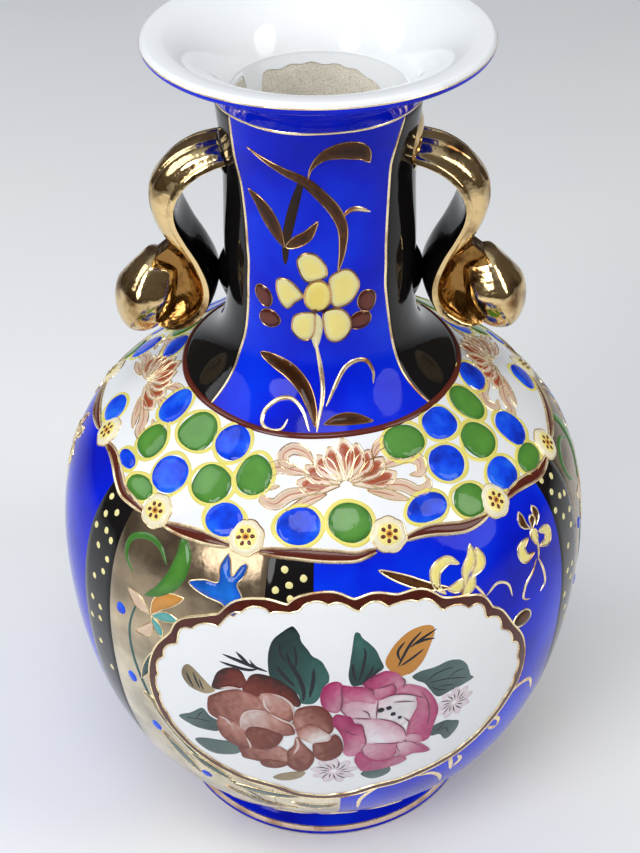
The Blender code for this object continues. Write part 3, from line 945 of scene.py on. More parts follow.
# Enamel dots: colour, azimuth, s, half width in degrees and half height
ENAMEL_DOTS = (
    ("blue", -64.0, 168.5, 6.3, 5.7), ("green", -47.4, 167.8, 7.9, 5.8), ("blue", -32.5, 169.5, 6.5, 5.2),
    ("green", -21.0, 162.6, 5.6, 5.7), ("green", -32.5, 156.8, 6.1, 5.4), ("green", -59.3, 157.3, 5.4, 5.2),
    ("blue", -45.8, 153.8, 5.8, 5.5), ("blue", -25.0, 148.9, 5.0, 4.6), ("blue", -6.0, 150.6, 5.5, 5.2),
    ("green", -51.5, 145.9, 4.7, 3.3), ("blue", -61.5, 148.6, 4.0, 2.2), ("blue", -83.5, 150.2, 5.0, 4.5),
    ("green", 29.8, 170.0, 7.8, 5.0), ("blue", 46.8, 170.0, 7.3, 4.9), ("green", 63.8, 168.8, 6.6, 5.8),
    ("blue", 79.0, 170.4, 7.0, 4.6), ("blue", 39.6, 159.8, 6.0, 5.2), ("green", 54.6, 159.7, 6.4, 5.4),
    ("blue", 68.2, 154.2, 5.2, 5.6), ("green", 6.9, 151.4, 5.4, 5.6), ("blue", 27.5, 150.9, 5.8, 3.9),
    ("green", 39.5, 147.9, 5.0, 4.6), ("blue", 53.0, 148.6, 5.2, 4.6), ("green", 64.3, 145.2, 4.9, 4.0),
)


def paint_dots(layers):
    """Domed enamel dots with a yellow line round each."""
    for offset in (0.0, HALF):
        for colour, azimuth, s, wide, high in ENAMEL_DOTS:
            half_width = wide * float(OUTSIDE.degree(s))
            loop = blob(azimuth + offset, s, half_width, high, wobble=0.035, square=2.2)
            fill(layers[colour], [loop], 0.09, 0.26, 0.45, 0.22, 1.4, (0.0, 1.0), 2.6)
            stroke(layers["yellow"], blob(azimuth + offset, s, half_width + 0.5, high + 0.5, wobble=0.05),
                   1.3, 0.16, 0.09, closed=True, step=1.2)


def paint_rosettes(layers):
    """Raised scalloped buttons: a pale rim, a yellow face and seven brown-red seeds."""
    for offset in (0.0, HALF):
        for azimuth, s in ROSETTES:
            centre = azimuth + offset
            swings = np.radians(np.arange(0.0, 360.0, 6.0))
            radius = 4.6 + 0.35 * np.abs(np.sin(3.5 * swings))
            degree = float(OUTSIDE.degree(s))
            rim = np.column_stack((centre + radius * np.cos(swings) / degree, s + radius * np.sin(swings)))
            fill(layers["pale"], [rim], 0.09, 0.80, 1.0, 0.0, 1.2, (0.5, 0.9), 1.0)
            stroke(layers["gold"], rim, 0.45, 0.22, 0.06, closed=True, step=0.8)
            face = blob(centre, s, 3.3, 3.3, wobble=0.05)
            fill(layers["cream"], [face], 0.74, 0.92, 0.4, 0.0, 1.0, (0.25, 0.75), 1.4)
            fill(layers["orange"], [blob(centre, s, 1.3, 1.3)], 0.86, 0.95, 0.4, 0.0, 0.8)
            for k in range(7):
                reach = 0.0 if k == 6 else 1.85
                swing = math.radians(60.0 * k + 15.0)
                seed = blob(centre + reach * math.cos(swing) / degree, s + reach * math.sin(swing),
                            0.75, 0.62, math.degrees(swing))
                fill(layers["wine"], [seed], 0.88, 1.06, 0.3, 0.0, 0.7, (0.6, 1.0), 0.6)


def paint_scallops(layers):
    """Brown-red bars between the rosettes, each between two gold lines."""
    ends = [a for a, _ in ROSETTES] + [ROSETTES[0][0] + HALF]
    for offset in (0.0, HALF):
        for left, right in zip(ends, ends[1:]):
            azimuths = np.linspace(left + 3.6, right - 3.6, 7)
            spine = [(a + offset, float(scallop_edge(a)) - 0.2) for a in azimuths]
            stroke(layers["wine"], spine, 3.0, 0.26, 0.05, "swell", tone=0.6)
            bows = [1.55 * math.sin(math.pi * (0.12 + 0.76 * k / 6.0)) for k in range(len(spine))]
            upper = [(a, s + bow) for (a, s), bow in zip(spine, bows)]
            lower = [(a, s - bow) for (a, s), bow in zip(spine, bows)]
            stroke(layers["gold"], upper, 0.9, 0.42, 0.10)
            stroke(layers["gold"], lower, 1.0, 0.48, 0.06)


# Lotus petals: lean in degrees and length; the side ones come first, under the middle ones
LOTUS_PETALS = (
    (-84.0, 13.0), (84.0, 14.0), (-62.0, 12.6), (62.0, 13.4), (-40.0, 11.8), (42.0, 12.4), (-19.0, 12.0),
    (23.0, 12.6), (2.0, 13.4),
)
# Lotus scrolls: (x, y) in mm from the flower's foot, on its right side, and width of the wash
LOTUS_SCROLLS = (
    (((8.4, 6.2), (11.0, 9.4), (15.2, 10.4), (17.8, 8.2), (16.4, 5.6), (13.4, 5.8)), 3.0),
    (((9.4, 3.6), (13.6, 4.4), (18.6, 4.8), (21.4, 2.2), (20.0, -0.8), (17.0, -0.4)), 3.4),
    (((6.4, -0.8), (10.6, -1.4), (14.4, -2.6), (17.4, -5.4), (20.6, -4.6), (20.8, -1.8)), 3.2),
    (((5.0, -1.8), (8.6, -3.2), (12.0, -5.2), (14.6, -6.8)), 2.4),
)


def paint_lotus(layers, azimuth, s=161.2):
    """Iron-red lotus seen from the side, with scroll leaves left and right."""
    degree = float(OUTSIDE.degree(s + 2.0))

    def at(x, y):
        return (azimuth + x / degree, s + y)

    for side in (-1.0, 1.0):
        for spine, width in LOTUS_SCROLLS:
            places = [at(side * x, y) for x, y in spine]
            stroke(layers["peach"], places, width, 0.10, 0.08, "swell", tone=0.55)
            edge = leaf_shape(places, width * 1.1, 0.5)
            stroke(layers["gold"], edge, 0.42, 0.20, 0.11, closed=True, step=0.8)
            stroke(layers["iron"], places[:-1], 0.5, 0.06, 0.17, "both", tone=0.2)
    lift = 0.10
    for lean, length in LOTUS_PETALS:
        swing = math.radians(lean)
        way = np.array((math.sin(swing), math.cos(swing)))
        bend = np.array((way[1], -way[0])) * (0.5 if lean > 0.0 else -0.5)
        tip = way * length
        whole = leaf_shape([at(*(way * 1.6)), at(*(way * 0.6 * length + bend)), at(*tip)], 5.0, 0.60)
        middle = [at(*(way * 3.6)), at(*(way * 0.64 * length + bend)), at(*(way * (length - 0.9)))]
        core = leaf_shape(middle, 3.4, 0.60)
        fill(layers["peach"], [whole], lift, lift + 0.06, 0.25, 0.0, 1.4, (0.0, 0.25), 1.0)
        fill(layers["iron"], [core], lift + 0.04, lift + 0.10, 0.25, 0.0, 1.2, (0.1, 1.0), 1.1)
        stroke(layers["gold"], whole, 0.42, 0.20, lift + 0.04, closed=True, step=0.8)
        lift += 0.022


# ---------------------------------------------------------------- painting: neck

# Edges of the neck's blue panel, left and right: (s, azimuth)
NECK_LEFT = ((176.0, -51.0), (185.0, -51.0), (192.0, -53.0), (200.0, -50.0), (210.0, -47.5), (222.0, -45.5),
             (235.0, -48.0), (245.0, -51.5), (252.0, -56.0), (262.0, -55.0))
NECK_RIGHT = ((176.0, 49.5), (185.0, 46.5), (195.0, 46.5), (205.0, 44.0), (215.0, 40.5), (228.0, 41.0),
              (240.0, 43.0), (250.0, 43.8), (255.0, 47.0), (262.0, 52.0))


def neck_edge(knots, s):
    """Azimuth of a panel's edge at s."""
    places, azimuths = np.array(knots).T
    return float(np.interp(s, places, azimuths))


def paint_neck_bands(layers):
    """Black side bands, with a gilt line along each edge of the blue panels."""
    black = Layer("black_neck_bands", BLACK, "neck_glaze")
    low, high = NECK_S + 0.6, RING_S - 0.4
    for offset in (0.0, HALF):
        band(black, lambda s, o=offset: o + neck_edge(NECK_RIGHT, s),
             lambda s, o=offset: o + HALF + neck_edge(NECK_LEFT, s), low, high, 0.05, 1.5)
    black.make()
    for offset in (0.0, HALF):
        for knots in (NECK_LEFT, NECK_RIGHT):
            line = [(offset + neck_edge(knots, s), s) for s in np.linspace(low, high, 16)]
            stroke(layers["gold_neck"], line, 0.8, 0.22, 0.03)


# Neck leaves: spine, width and the share of the length where they are widest
NECK_LEAVES = (
    (((-42.5, 255.3), (-30.0, 252.9), (-20.0, 251.0), (-8.0, 248.6), (2.0, 244.2), (9.0, 240.0),
      (13.0, 235.0), (12.6, 229.0), (10.0, 223.0)), 2.9, 0.55),
    (((-6.5, 248.8), (-4.4, 252.4), (1.5, 255.6), (10.0, 257.0), (18.0, 256.8), (24.5, 255.4),
      (28.4, 252.6)), 4.6, 0.7),
    (((-44.5, 243.2), (-36.0, 240.4), (-28.0, 235.6), (-20.6, 229.6)), 4.0, 0.5),
    (((-19.6, 229.6), (-13.0, 231.6), (-7.0, 233.6), (-1.0, 237.6)), 3.0, 0.4),
    (((-37.0, 195.6), (-27.0, 194.6), (-17.0, 192.6), (-9.0, 188.6), (-4.4, 183.0), (-2.6, 178.0)), 4.2,
     0.4),
    (((0.8, 178.8), (7.0, 179.8), (14.0, 179.6), (21.6, 178.0)), 3.4, 0.52),
)
# Neck tendrils: spine and width
NECK_TENDRILS = (
    (((12.8, 238.2), (17.0, 240.0), (22.5, 240.0), (30.0, 238.4)), 1.5),
    (((2.0, 183.6), (7.0, 189.0), (13.0, 193.6), (20.0, 195.2), (26.4, 194.4), (29.2, 191.0),
      (27.4, 187.8)), 1.4),
    (((-5.0, 176.8), (-8.6, 182.4), (-14.5, 185.4), (-21.0, 184.6), (-25.6, 181.0), (-25.0, 177.2),
      (-21.0, 175.9), (-16.4, 176.6), (-14.6, 179.6)), 1.3),
    (((-3.4, 205.0), (-2.4, 200.0), (-0.6, 195.0), (0.6, 190.0), (0.2, 185.0), (-1.4, 180.0),
      (-2.0, 176.6)), 1.3),
)
# Neck petals: outlines, laid one after another from the top petal clockwise
NECK_PETALS = (
    ((-13.0, 226.1), (-10.6, 227.9), (-6.3, 228.6), (-1.7, 227.8), (2.7, 225.2), (3.7, 222.6),
     (0.9, 221.4), (-5.3, 220.4), (-8.9, 220.8), (-11.7, 223.2)),
    ((5.5, 221.4), (9.1, 222.8), (14.3, 223.5), (19.1, 222.2), (22.3, 218.9), (20.7, 215.9),
     (16.4, 213.4), (9.6, 212.5), (6.5, 213.7), (5.0, 217.4)),
    ((1.7, 210.9), (7.0, 212.0), (12.4, 211.4), (16.2, 209.3), (17.7, 206.2), (15.1, 203.3),
     (9.1, 201.8), (4.1, 202.9), (1.9, 206.8)),
    ((-16.7, 207.0), (-15.1, 209.5), (-10.4, 210.6), (-4.0, 210.8), (-3.4, 208.2), (-4.2, 204.6),
     (-7.8, 202.4), (-13.0, 202.9), (-16.5, 204.8)),
    ((-24.9, 219.8), (-21.6, 220.4), (-17.3, 220.0), (-13.0, 218.1), (-10.2, 216.3), (-10.9, 215.3),
     (-15.1, 213.7), (-18.9, 211.7), (-21.9, 212.3), (-24.4, 214.5), (-25.7, 217.3)),
)
NECK_DISC = (-1.6, 216.2, 3.4, 4.6)   # azimuth, s, half width and half height
NECK_STEM_TOP = ((-2.4, 210.8), (-2.8, 205.4), (-3.0, 199.2))
NECK_STALK = ((-8.6, 250.2), (-12.4, 245.0), (-16.6, 238.0), (-19.6, 231.0), (-20.2, 224.6))
# Neck buds: azimuth, s, half width and half height
NECK_BUDS = (
    (-34.8, 213.6, 2.7, 3.2), (-31.4, 207.0, 3.4, 2.6), (27.6, 212.8, 2.8, 3.3), (23.6, 207.2, 3.2, 2.7),
)


def paint_neck_leaves(layers, turn):
    """Brown leaves, gilt tendrils and wine-red buds around the neck flower."""
    stroke(layers["brown_neck"], moved_round(NECK_STALK, turn), 2.9, 0.14, 0.0, "swell", tone=0.15)
    for spine, width, fullest in NECK_LEAVES:
        shape = leaf_shape(moved_round(spine, turn), width, fullest)
        fill(layers["brown_neck"], [shape], 0.0, 0.12, 0.3, 0.08, 1.4, (0.9, 0.3), 1.5)
        stroke(layers["bronze_neck"], shape, 0.36, 0.22, 0.02, closed=True, step=0.8)
    for spine, width in NECK_TENDRILS:
        stroke(layers["gold_neck"], moved_round(spine, turn), width, 0.3, 0.0, "swell")
    for azimuth, s, wide, high in NECK_BUDS:
        loop = blob(azimuth + turn, s, wide, high, 20.0)
        fill(layers["wine"], [loop], 0.0, 0.3, 0.5, 0.2, 1.2, (0.1, 0.9), 1.6)
        stroke(layers["bronze_neck"], loop, 0.3, 0.2, 0.02, closed=True, step=0.8)


def paint_neck_flower(layers, turn):
    """Five cream petals and a domed disc on the neck's blue panel, each in a bronze outline."""
    stem_top = leaf_shape(moved_round(NECK_STEM_TOP, turn), 3.6, 0.4)
    fill(layers["cream_neck"], [stem_top], 0.0, 0.2, 0.3, 0.0, 1.2, (0.0, 0.1), 1.0)
    for step, outline in enumerate(NECK_PETALS):
        knots = np.array(outline) + (turn, 0.0)
        degree = float(OUTSIDE.degree(knots[:, 1].mean()))
        loop = smooth_path(knots * (degree, 1.0), 0.8, closed=True) / (degree, 1.0)
        base = 0.02 * step
        fill(layers["cream_neck"], [loop], base, base + 0.30, 0.5, 0.2, 1.2, (0.0, 0.6), 1.8)
        stroke(layers["bronze_neck"], loop, 0.6, 0.34, base, closed=True, step=0.8)
    azimuth, s, wide, high = NECK_DISC
    disc = blob(azimuth + turn, s, wide, high, 0.0, 0.03)
    fill(layers["cream_neck"], [disc], 0.3, 0.65, 0.6, 0.25, 1.2, (0.5, 0.9), 2.0)
    stroke(layers["bronze_neck"], disc, 0.65, 0.3, 0.4, closed=True, step=0.8)
    navel = blob(azimuth - 1.4 + turn, s - high + 0.4, 0.8, 0.8)
    fill(layers["brown_neck"], [navel], 0.5, 0.95, 0.3, 0.0, 0.7, (0.9, 0.9))


# ---------------------------------------------------------------- painting: medallion

# Outline of the medallion
MEDALLION = (
    (-36.0, 86.0), (-35.6, 95.0), (-33.4, 104.0), (-30.0, 111.0), (-28.2, 116.0), (-23.0, 119.6),
    (-20.0, 121.6), (-17.0, 126.0), (-12.0, 127.6), (-7.0, 126.8), (-4.0, 129.4), (1.5, 130.4),
    (6.0, 128.2), (10.5, 129.2), (15.0, 127.8), (20.0, 127.8), (24.0, 123.8), (29.0, 121.8), (32.4, 120.0),
    (34.2, 115.6), (36.6, 112.6), (39.2, 106.0), (42.2, 99.0), (43.6, 91.0), (43.2, 83.0), (41.0, 77.0),
    (37.6, 71.0), (34.0, 66.4), (28.6, 62.0), (22.6, 59.4), (16.0, 57.0), (11.0, 56.4), (6.0, 53.4),
    (0.0, 51.8), (-6.0, 53.0), (-11.0, 56.8), (-17.0, 58.4), (-22.0, 61.2), (-27.0, 65.2), (-31.0, 70.0),
    (-34.4, 77.0),
)

# Petals and leaves: outline, where the wash starts and ends, and the tones there (0 dark, 1 pale)
RUST_PETALS = (
    (((-22.6, 98.5), (-22.2, 101.5), (-21.4, 104.6), (-19.8, 107.0), (-17.8, 108.0), (-16.3, 107.4),
      (-15.6, 105.4), (-15.2, 103.0), (-16.5, 101.0), (-19.0, 100.0), (-21.0, 98.4)), (-21.4, 104.4),
     (-16.4, 101.0), 0.0, 0.36),
    (((-16.2, 101.0), (-15.3, 104.0), (-14.3, 106.6), (-12.5, 107.6), (-9.5, 106.9), (-7.5, 105.2),
      (-5.8, 103.0), (-4.8, 99.8), (-4.6, 97.6), (-5.4, 96.6), (-7.0, 98.0), (-10.0, 99.0),
      (-13.0, 99.0), (-15.0, 99.2)), (-9.6, 107.0), (-12.0, 100.6), 0.0, 0.27),
    (((-24.0, 89.5), (-23.8, 92.5), (-23.4, 94.5), (-21.5, 97.0), (-19.5, 99.0), (-17.0, 100.4),
      (-14.5, 100.0), (-12.5, 98.5), (-11.0, 96.0), (-11.5, 93.5), (-14.0, 90.0), (-16.0, 86.0),
      (-17.0, 85.4), (-19.5, 85.6), (-22.5, 86.0), (-23.8, 87.5)), (-23.6, 90.0), (-13.0, 97.0), 0.42,
     0.62),
    (((-12.6, 100.2), (-10.4, 101.3), (-8.6, 100.8), (-6.8, 98.6), (-6.0, 96.4), (-6.1, 93.8),
      (-6.4, 91.0), (-8.2, 90.6), (-9.8, 91.8), (-11.6, 93.6), (-12.6, 96.4)), (-7.6, 92.0),
     (-10.6, 100.6), 0.56, 0.76),
    (((-5.6, 95.4), (-4.4, 96.8), (-2.2, 97.6), (-0.4, 97.0), (0.8, 95.0), (1.6, 92.0), (1.8, 88.6),
      (1.2, 86.0), (0.4, 86.0), (-0.8, 87.0), (-2.2, 88.0), (-4.0, 87.4), (-5.6, 86.6), (-6.3, 88.8),
      (-6.2, 92.0)), (0.6, 95.6), (-4.6, 90.0), 0.34, 0.62),
    (((-22.0, 85.8), (-20.5, 87.4), (-18.6, 86.8), (-17.0, 86.2), (-15.8, 84.0), (-15.0, 80.6),
      (-14.4, 77.0), (-15.3, 75.8), (-17.0, 75.2), (-19.0, 75.8), (-20.8, 77.4), (-21.8, 79.6),
      (-22.2, 82.5)), (-20.6, 77.0), (-18.0, 84.6), 0.38, 0.66),
    (((-18.0, 75.4), (-16.6, 76.6), (-15.2, 77.2), (-13.6, 77.2), (-12.0, 77.6), (-10.8, 78.4),
      (-9.4, 79.2), (-7.6, 77.2), (-6.6, 75.2), (-7.0, 72.5), (-8.6, 70.6), (-10.6, 70.0),
      (-13.0, 69.8), (-15.0, 70.0), (-17.2, 70.2), (-17.6, 72.0)), (-15.6, 70.6), (-9.6, 78.4), 0.4,
     0.68),
    (((-13.6, 70.6), (-12.4, 72.0), (-9.4, 72.4), (-7.6, 70.8), (-8.6, 69.0), (-10.4, 67.6),
      (-12.6, 67.4), (-13.5, 68.6)), (-12.6, 68.0), (-9.0, 72.0), 0.36, 0.48),
    (((-7.8, 76.8), (-6.4, 80.0), (-5.9, 83.6), (-5.2, 84.4), (-4.6, 82.0), (-3.6, 79.6), (-2.4, 77.0),
      (-2.2, 74.2), (-2.8, 71.0), (-4.0, 68.0), (-5.6, 67.0), (-7.0, 68.4), (-8.0, 70.4), (-7.8, 73.4)),
     (-4.6, 69.0), (-5.6, 82.6), 0.37, 0.62),
    (((-17.0, 86.5), (-16.9, 89.0), (-16.0, 91.8), (-14.6, 93.4), (-12.4, 94.0), (-11.2, 93.6),
      (-9.5, 91.8), (-7.6, 90.5), (-6.4, 89.4), (-6.0, 87.6), (-6.0, 85.4), (-7.6, 84.4), (-9.0, 84.4),
      (-11.0, 84.8), (-13.5, 84.8), (-15.0, 84.0), (-16.0, 83.4), (-16.8, 84.6)), (-7.4, 85.6),
     (-14.4, 92.4), 0.52, 0.88),
    (((-15.3, 86.0), (-13.6, 87.0), (-11.5, 86.8), (-9.6, 85.8), (-8.3, 84.8), (-8.6, 82.4),
      (-9.4, 80.0), (-10.6, 78.0), (-12.0, 76.6), (-14.0, 76.4), (-15.3, 78.0), (-15.9, 80.5),
      (-16.2, 83.5)), (-13.0, 79.0), (-12.4, 87.4), 0.33, 0.46),
    (((-5.6, 86.8), (-4.4, 89.0), (-2.8, 90.2), (-1.6, 89.4), (-0.4, 87.6), (0.8, 85.8), (1.3, 84.4),
      (0.8, 82.8), (-0.8, 82.2), (-2.6, 81.8), (-4.0, 82.8), (-5.2, 84.4)), (-3.8, 88.4), (-1.2, 84.0),
     0.62, 1.0),
    (((-2.4, 81.6), (-0.6, 82.4), (0.8, 83.2), (1.6, 85.6), (2.6, 85.0), (3.4, 82.0), (3.6, 79.0),
      (3.0, 76.0), (1.6, 74.0), (-0.2, 73.2), (-1.8, 74.6), (-2.4, 77.4)), (2.8, 79.0), (-2.0, 80.6),
     0.32, 0.52),
)
PINK_PETALS = (
    (((3.2, 97.4), (5.0, 98.8), (7.0, 98.6), (9.4, 97.4), (10.4, 98.6), (12.4, 99.2), (14.6, 99.0),
      (16.6, 98.2), (17.8, 96.6), (18.4, 93.6), (17.6, 90.0), (16.0, 86.0), (12.0, 84.0), (7.0, 86.0),
      (4.4, 92.0), (3.2, 95.0)), (7.0, 98.6), (13.0, 92.0), 0.66, 1.0),
    (((-0.8, 99.0), (-0.8, 102.0), (-0.2, 104.4), (1.0, 106.0), (2.6, 106.4), (3.6, 104.8),
      (3.6, 102.0), (3.4, 98.6), (3.2, 95.6), (2.2, 94.4), (0.6, 95.2), (-0.4, 97.0)), (-0.2, 102.0),
     (3.2, 99.6), 0.02, 0.56),
    (((3.2, 104.8), (5.0, 104.4), (7.0, 104.0), (8.4, 103.4), (9.4, 102.4), (10.0, 99.8), (10.0, 96.8),
      (8.6, 97.2), (6.8, 98.4), (5.0, 98.6), (3.6, 97.6), (3.2, 100.0)), (6.4, 103.6), (7.0, 97.6),
     0.16, 0.6),
    (((7.4, 104.4), (8.0, 106.0), (10.0, 107.6), (12.0, 108.4), (14.2, 107.0), (15.0, 105.4),
      (15.6, 103.4), (15.2, 101.4), (13.6, 100.2), (13.2, 101.8), (12.0, 102.4), (10.0, 102.0),
      (9.0, 102.6)), (9.6, 106.6), (14.8, 102.4), 0.12, 0.56),
    (((9.6, 102.2), (11.4, 103.2), (13.2, 103.6), (13.8, 101.6), (13.8, 99.4), (12.4, 98.8),
      (11.0, 98.0), (10.0, 98.4)), (13.2, 99.8), (10.8, 102.4), 0.28, 0.58),
    (((13.8, 101.0), (16.0, 102.2), (18.0, 101.0), (20.0, 98.8), (21.4, 95.8), (22.6, 92.0),
      (23.2, 88.0), (22.8, 84.0), (22.2, 80.0), (21.8, 76.4), (20.4, 75.4), (19.6, 77.0), (19.0, 79.6),
      (18.0, 80.2), (16.8, 80.6), (16.6, 84.0), (17.0, 87.0), (17.8, 90.0), (18.4, 92.6), (18.2, 95.6),
      (17.4, 97.6), (15.8, 98.8), (14.0, 99.4)), (22.4, 88.0), (16.6, 91.0), 0.2, 0.5),
    (((2.2, 94.0), (3.6, 93.4), (5.2, 92.4), (5.8, 90.0), (7.4, 88.4), (8.0, 85.0), (8.4, 81.6),
      (7.6, 80.0), (7.4, 77.0), (6.2, 75.0), (4.6, 75.0), (3.6, 77.0), (3.8, 80.0), (3.4, 84.0),
      (2.6, 87.0), (1.6, 89.6), (1.4, 92.0)), (3.8, 87.0), (7.4, 80.6), 0.12, 0.52),
    (((5.6, 91.6), (8.0, 91.2), (10.4, 90.6), (12.6, 89.4), (14.4, 87.4), (15.8, 84.6), (16.6, 81.6),
      (16.6, 79.0), (14.6, 78.6), (12.4, 79.0), (10.0, 79.6), (8.2, 80.4), (8.0, 84.0), (7.6, 87.2),
      (7.0, 89.2)), (13.8, 88.4), (9.6, 83.0), 0.58, 0.98),
    (((7.2, 80.4), (8.6, 80.6), (10.4, 79.8), (12.6, 79.0), (14.8, 78.4), (15.0, 75.6), (14.4, 72.0),
      (12.6, 70.8), (10.4, 71.4), (8.6, 73.4), (7.4, 76.4), (7.0, 78.6)), (13.8, 72.6), (9.0, 78.6),
     0.36, 0.66),
    (((14.8, 78.4), (16.8, 78.2), (18.4, 76.6), (20.2, 74.6), (22.4, 70.0), (21.0, 69.6), (18.6, 70.8),
      (16.8, 70.2), (15.6, 71.4), (14.6, 73.6)), (21.0, 71.6), (15.8, 77.0), 0.24, 0.76),
    (((16.6, 80.8), (18.2, 80.6), (19.6, 79.2), (20.2, 76.0), (19.0, 76.2), (17.6, 77.2), (16.6, 78.4)),
     (20.0, 77.0), (17.0, 79.6), 0.46, 0.74),
    (((6.2, 75.4), (7.2, 76.6), (8.6, 73.8), (10.4, 71.8), (12.8, 70.8), (15.0, 71.6), (16.6, 70.4),
      (17.2, 68.6), (15.6, 67.0), (13.0, 66.4), (9.8, 66.2), (7.6, 66.6), (6.8, 69.0), (6.0, 72.0)),
     (8.0, 69.6), (16.0, 69.0), 0.24, 0.46),
)
LEAVES = (
    ("leaf", ((-9.0, 103.0), (-10.6, 107.0), (-11.0, 112.0), (-10.8, 116.0), (-10.0, 119.4),
              (-8.4, 121.8), (-6.8, 123.6), (-6.0, 123.9), (-4.8, 121.8), (-4.4, 119.6), (-3.0, 116.8),
              (-2.2, 115.0), (-0.6, 113.6), (0.4, 111.0), (1.0, 108.4), (0.8, 106.0), (0.0, 104.8),
              (-0.8, 101.0), (-2.2, 98.2), (-4.6, 98.2), (-5.0, 101.0), (-6.4, 103.4), (-7.6, 104.0)),
     (-9.6, 116.0), (0.0, 108.0), 0.1, 1.0),
    ("leaf", ((5.2, 104.6), (4.6, 108.0), (4.9, 112.0), (5.4, 117.0), (5.8, 120.6), (6.2, 122.0),
              (7.0, 121.6), (7.6, 120.0), (9.0, 118.0), (10.2, 115.6), (11.0, 112.4), (11.6, 109.6),
              (10.4, 108.0), (8.6, 106.0), (7.4, 104.6), (6.2, 104.2)), (6.4, 105.0), (9.4, 116.0), 0.3,
     0.95),
    ("ochre", ((14.4, 105.6), (12.6, 108.4), (11.8, 111.4), (12.8, 114.6), (14.4, 117.4), (17.0, 119.8),
               (20.0, 120.4), (22.0, 119.4), (22.2, 117.0), (21.2, 113.6), (19.6, 109.0), (17.6, 106.0),
               (15.8, 105.4)), (14.0, 107.0), (20.0, 118.0), 0.2, 0.9),
    ("sage", ((17.2, 104.4), (19.0, 105.6), (22.0, 105.6), (25.0, 106.2), (27.6, 105.0), (29.2, 102.4),
              (29.8, 100.0), (30.4, 97.0), (31.2, 95.6), (28.6, 94.6), (26.0, 94.2), (23.4, 93.4),
              (22.2, 94.6), (21.0, 97.6), (19.8, 100.6), (18.2, 102.4)), (20.6, 97.6), (27.0, 104.0),
     0.1, 1.0),
    ("tan", ((-29.4, 99.0), (-29.0, 102.4), (-27.8, 104.2), (-26.4, 103.4), (-24.8, 101.4),
             (-23.0, 99.0), (-21.8, 97.6), (-23.8, 95.2), (-26.0, 95.0), (-28.0, 95.8)), (-29.0, 98.0),
     (-23.0, 98.0), 0.2, 1.0),
    ("sage", ((-31.5, 80.0), (-28.0, 84.6), (-25.4, 88.4), (-24.4, 87.6), (-23.6, 86.0), (-22.0, 85.0),
              (-21.4, 82.6), (-22.2, 80.0), (-24.6, 78.8), (-28.0, 78.2)), (-24.0, 80.0), (-28.0, 83.0),
     0.0, 0.6),
    ("sage", ((-28.4, 71.4), (-26.0, 74.2), (-22.0, 76.0), (-19.6, 76.6), (-17.4, 74.0), (-18.4, 71.4),
              (-20.6, 69.4), (-24.0, 67.6), (-26.6, 68.4)), (-27.0, 70.0), (-20.0, 74.0), 0.4, 1.0),
    ("sage", ((22.0, 81.0), (25.0, 82.0), (27.0, 80.6), (28.6, 79.0), (28.4, 75.6), (26.6, 72.4),
              (25.4, 73.0), (24.2, 76.0), (22.0, 77.0)), (23.0, 78.0), (28.0, 77.0), 0.0, 0.7),
    ("sage", ((7.4, 64.4), (9.0, 67.0), (12.0, 67.2), (13.8, 66.0), (13.8, 63.0), (12.0, 61.0),
              (9.6, 61.0)), (9.0, 66.0), (12.0, 62.0), 0.3, 0.9),
    ("tan", ((-11.4, 61.6), (-9.6, 64.6), (-6.6, 66.6), (-4.2, 66.8), (-5.0, 63.6), (-7.6, 61.0),
             (-10.0, 60.4)), (-10.0, 61.6), (-6.0, 65.6), 0.5, 0.9),
)
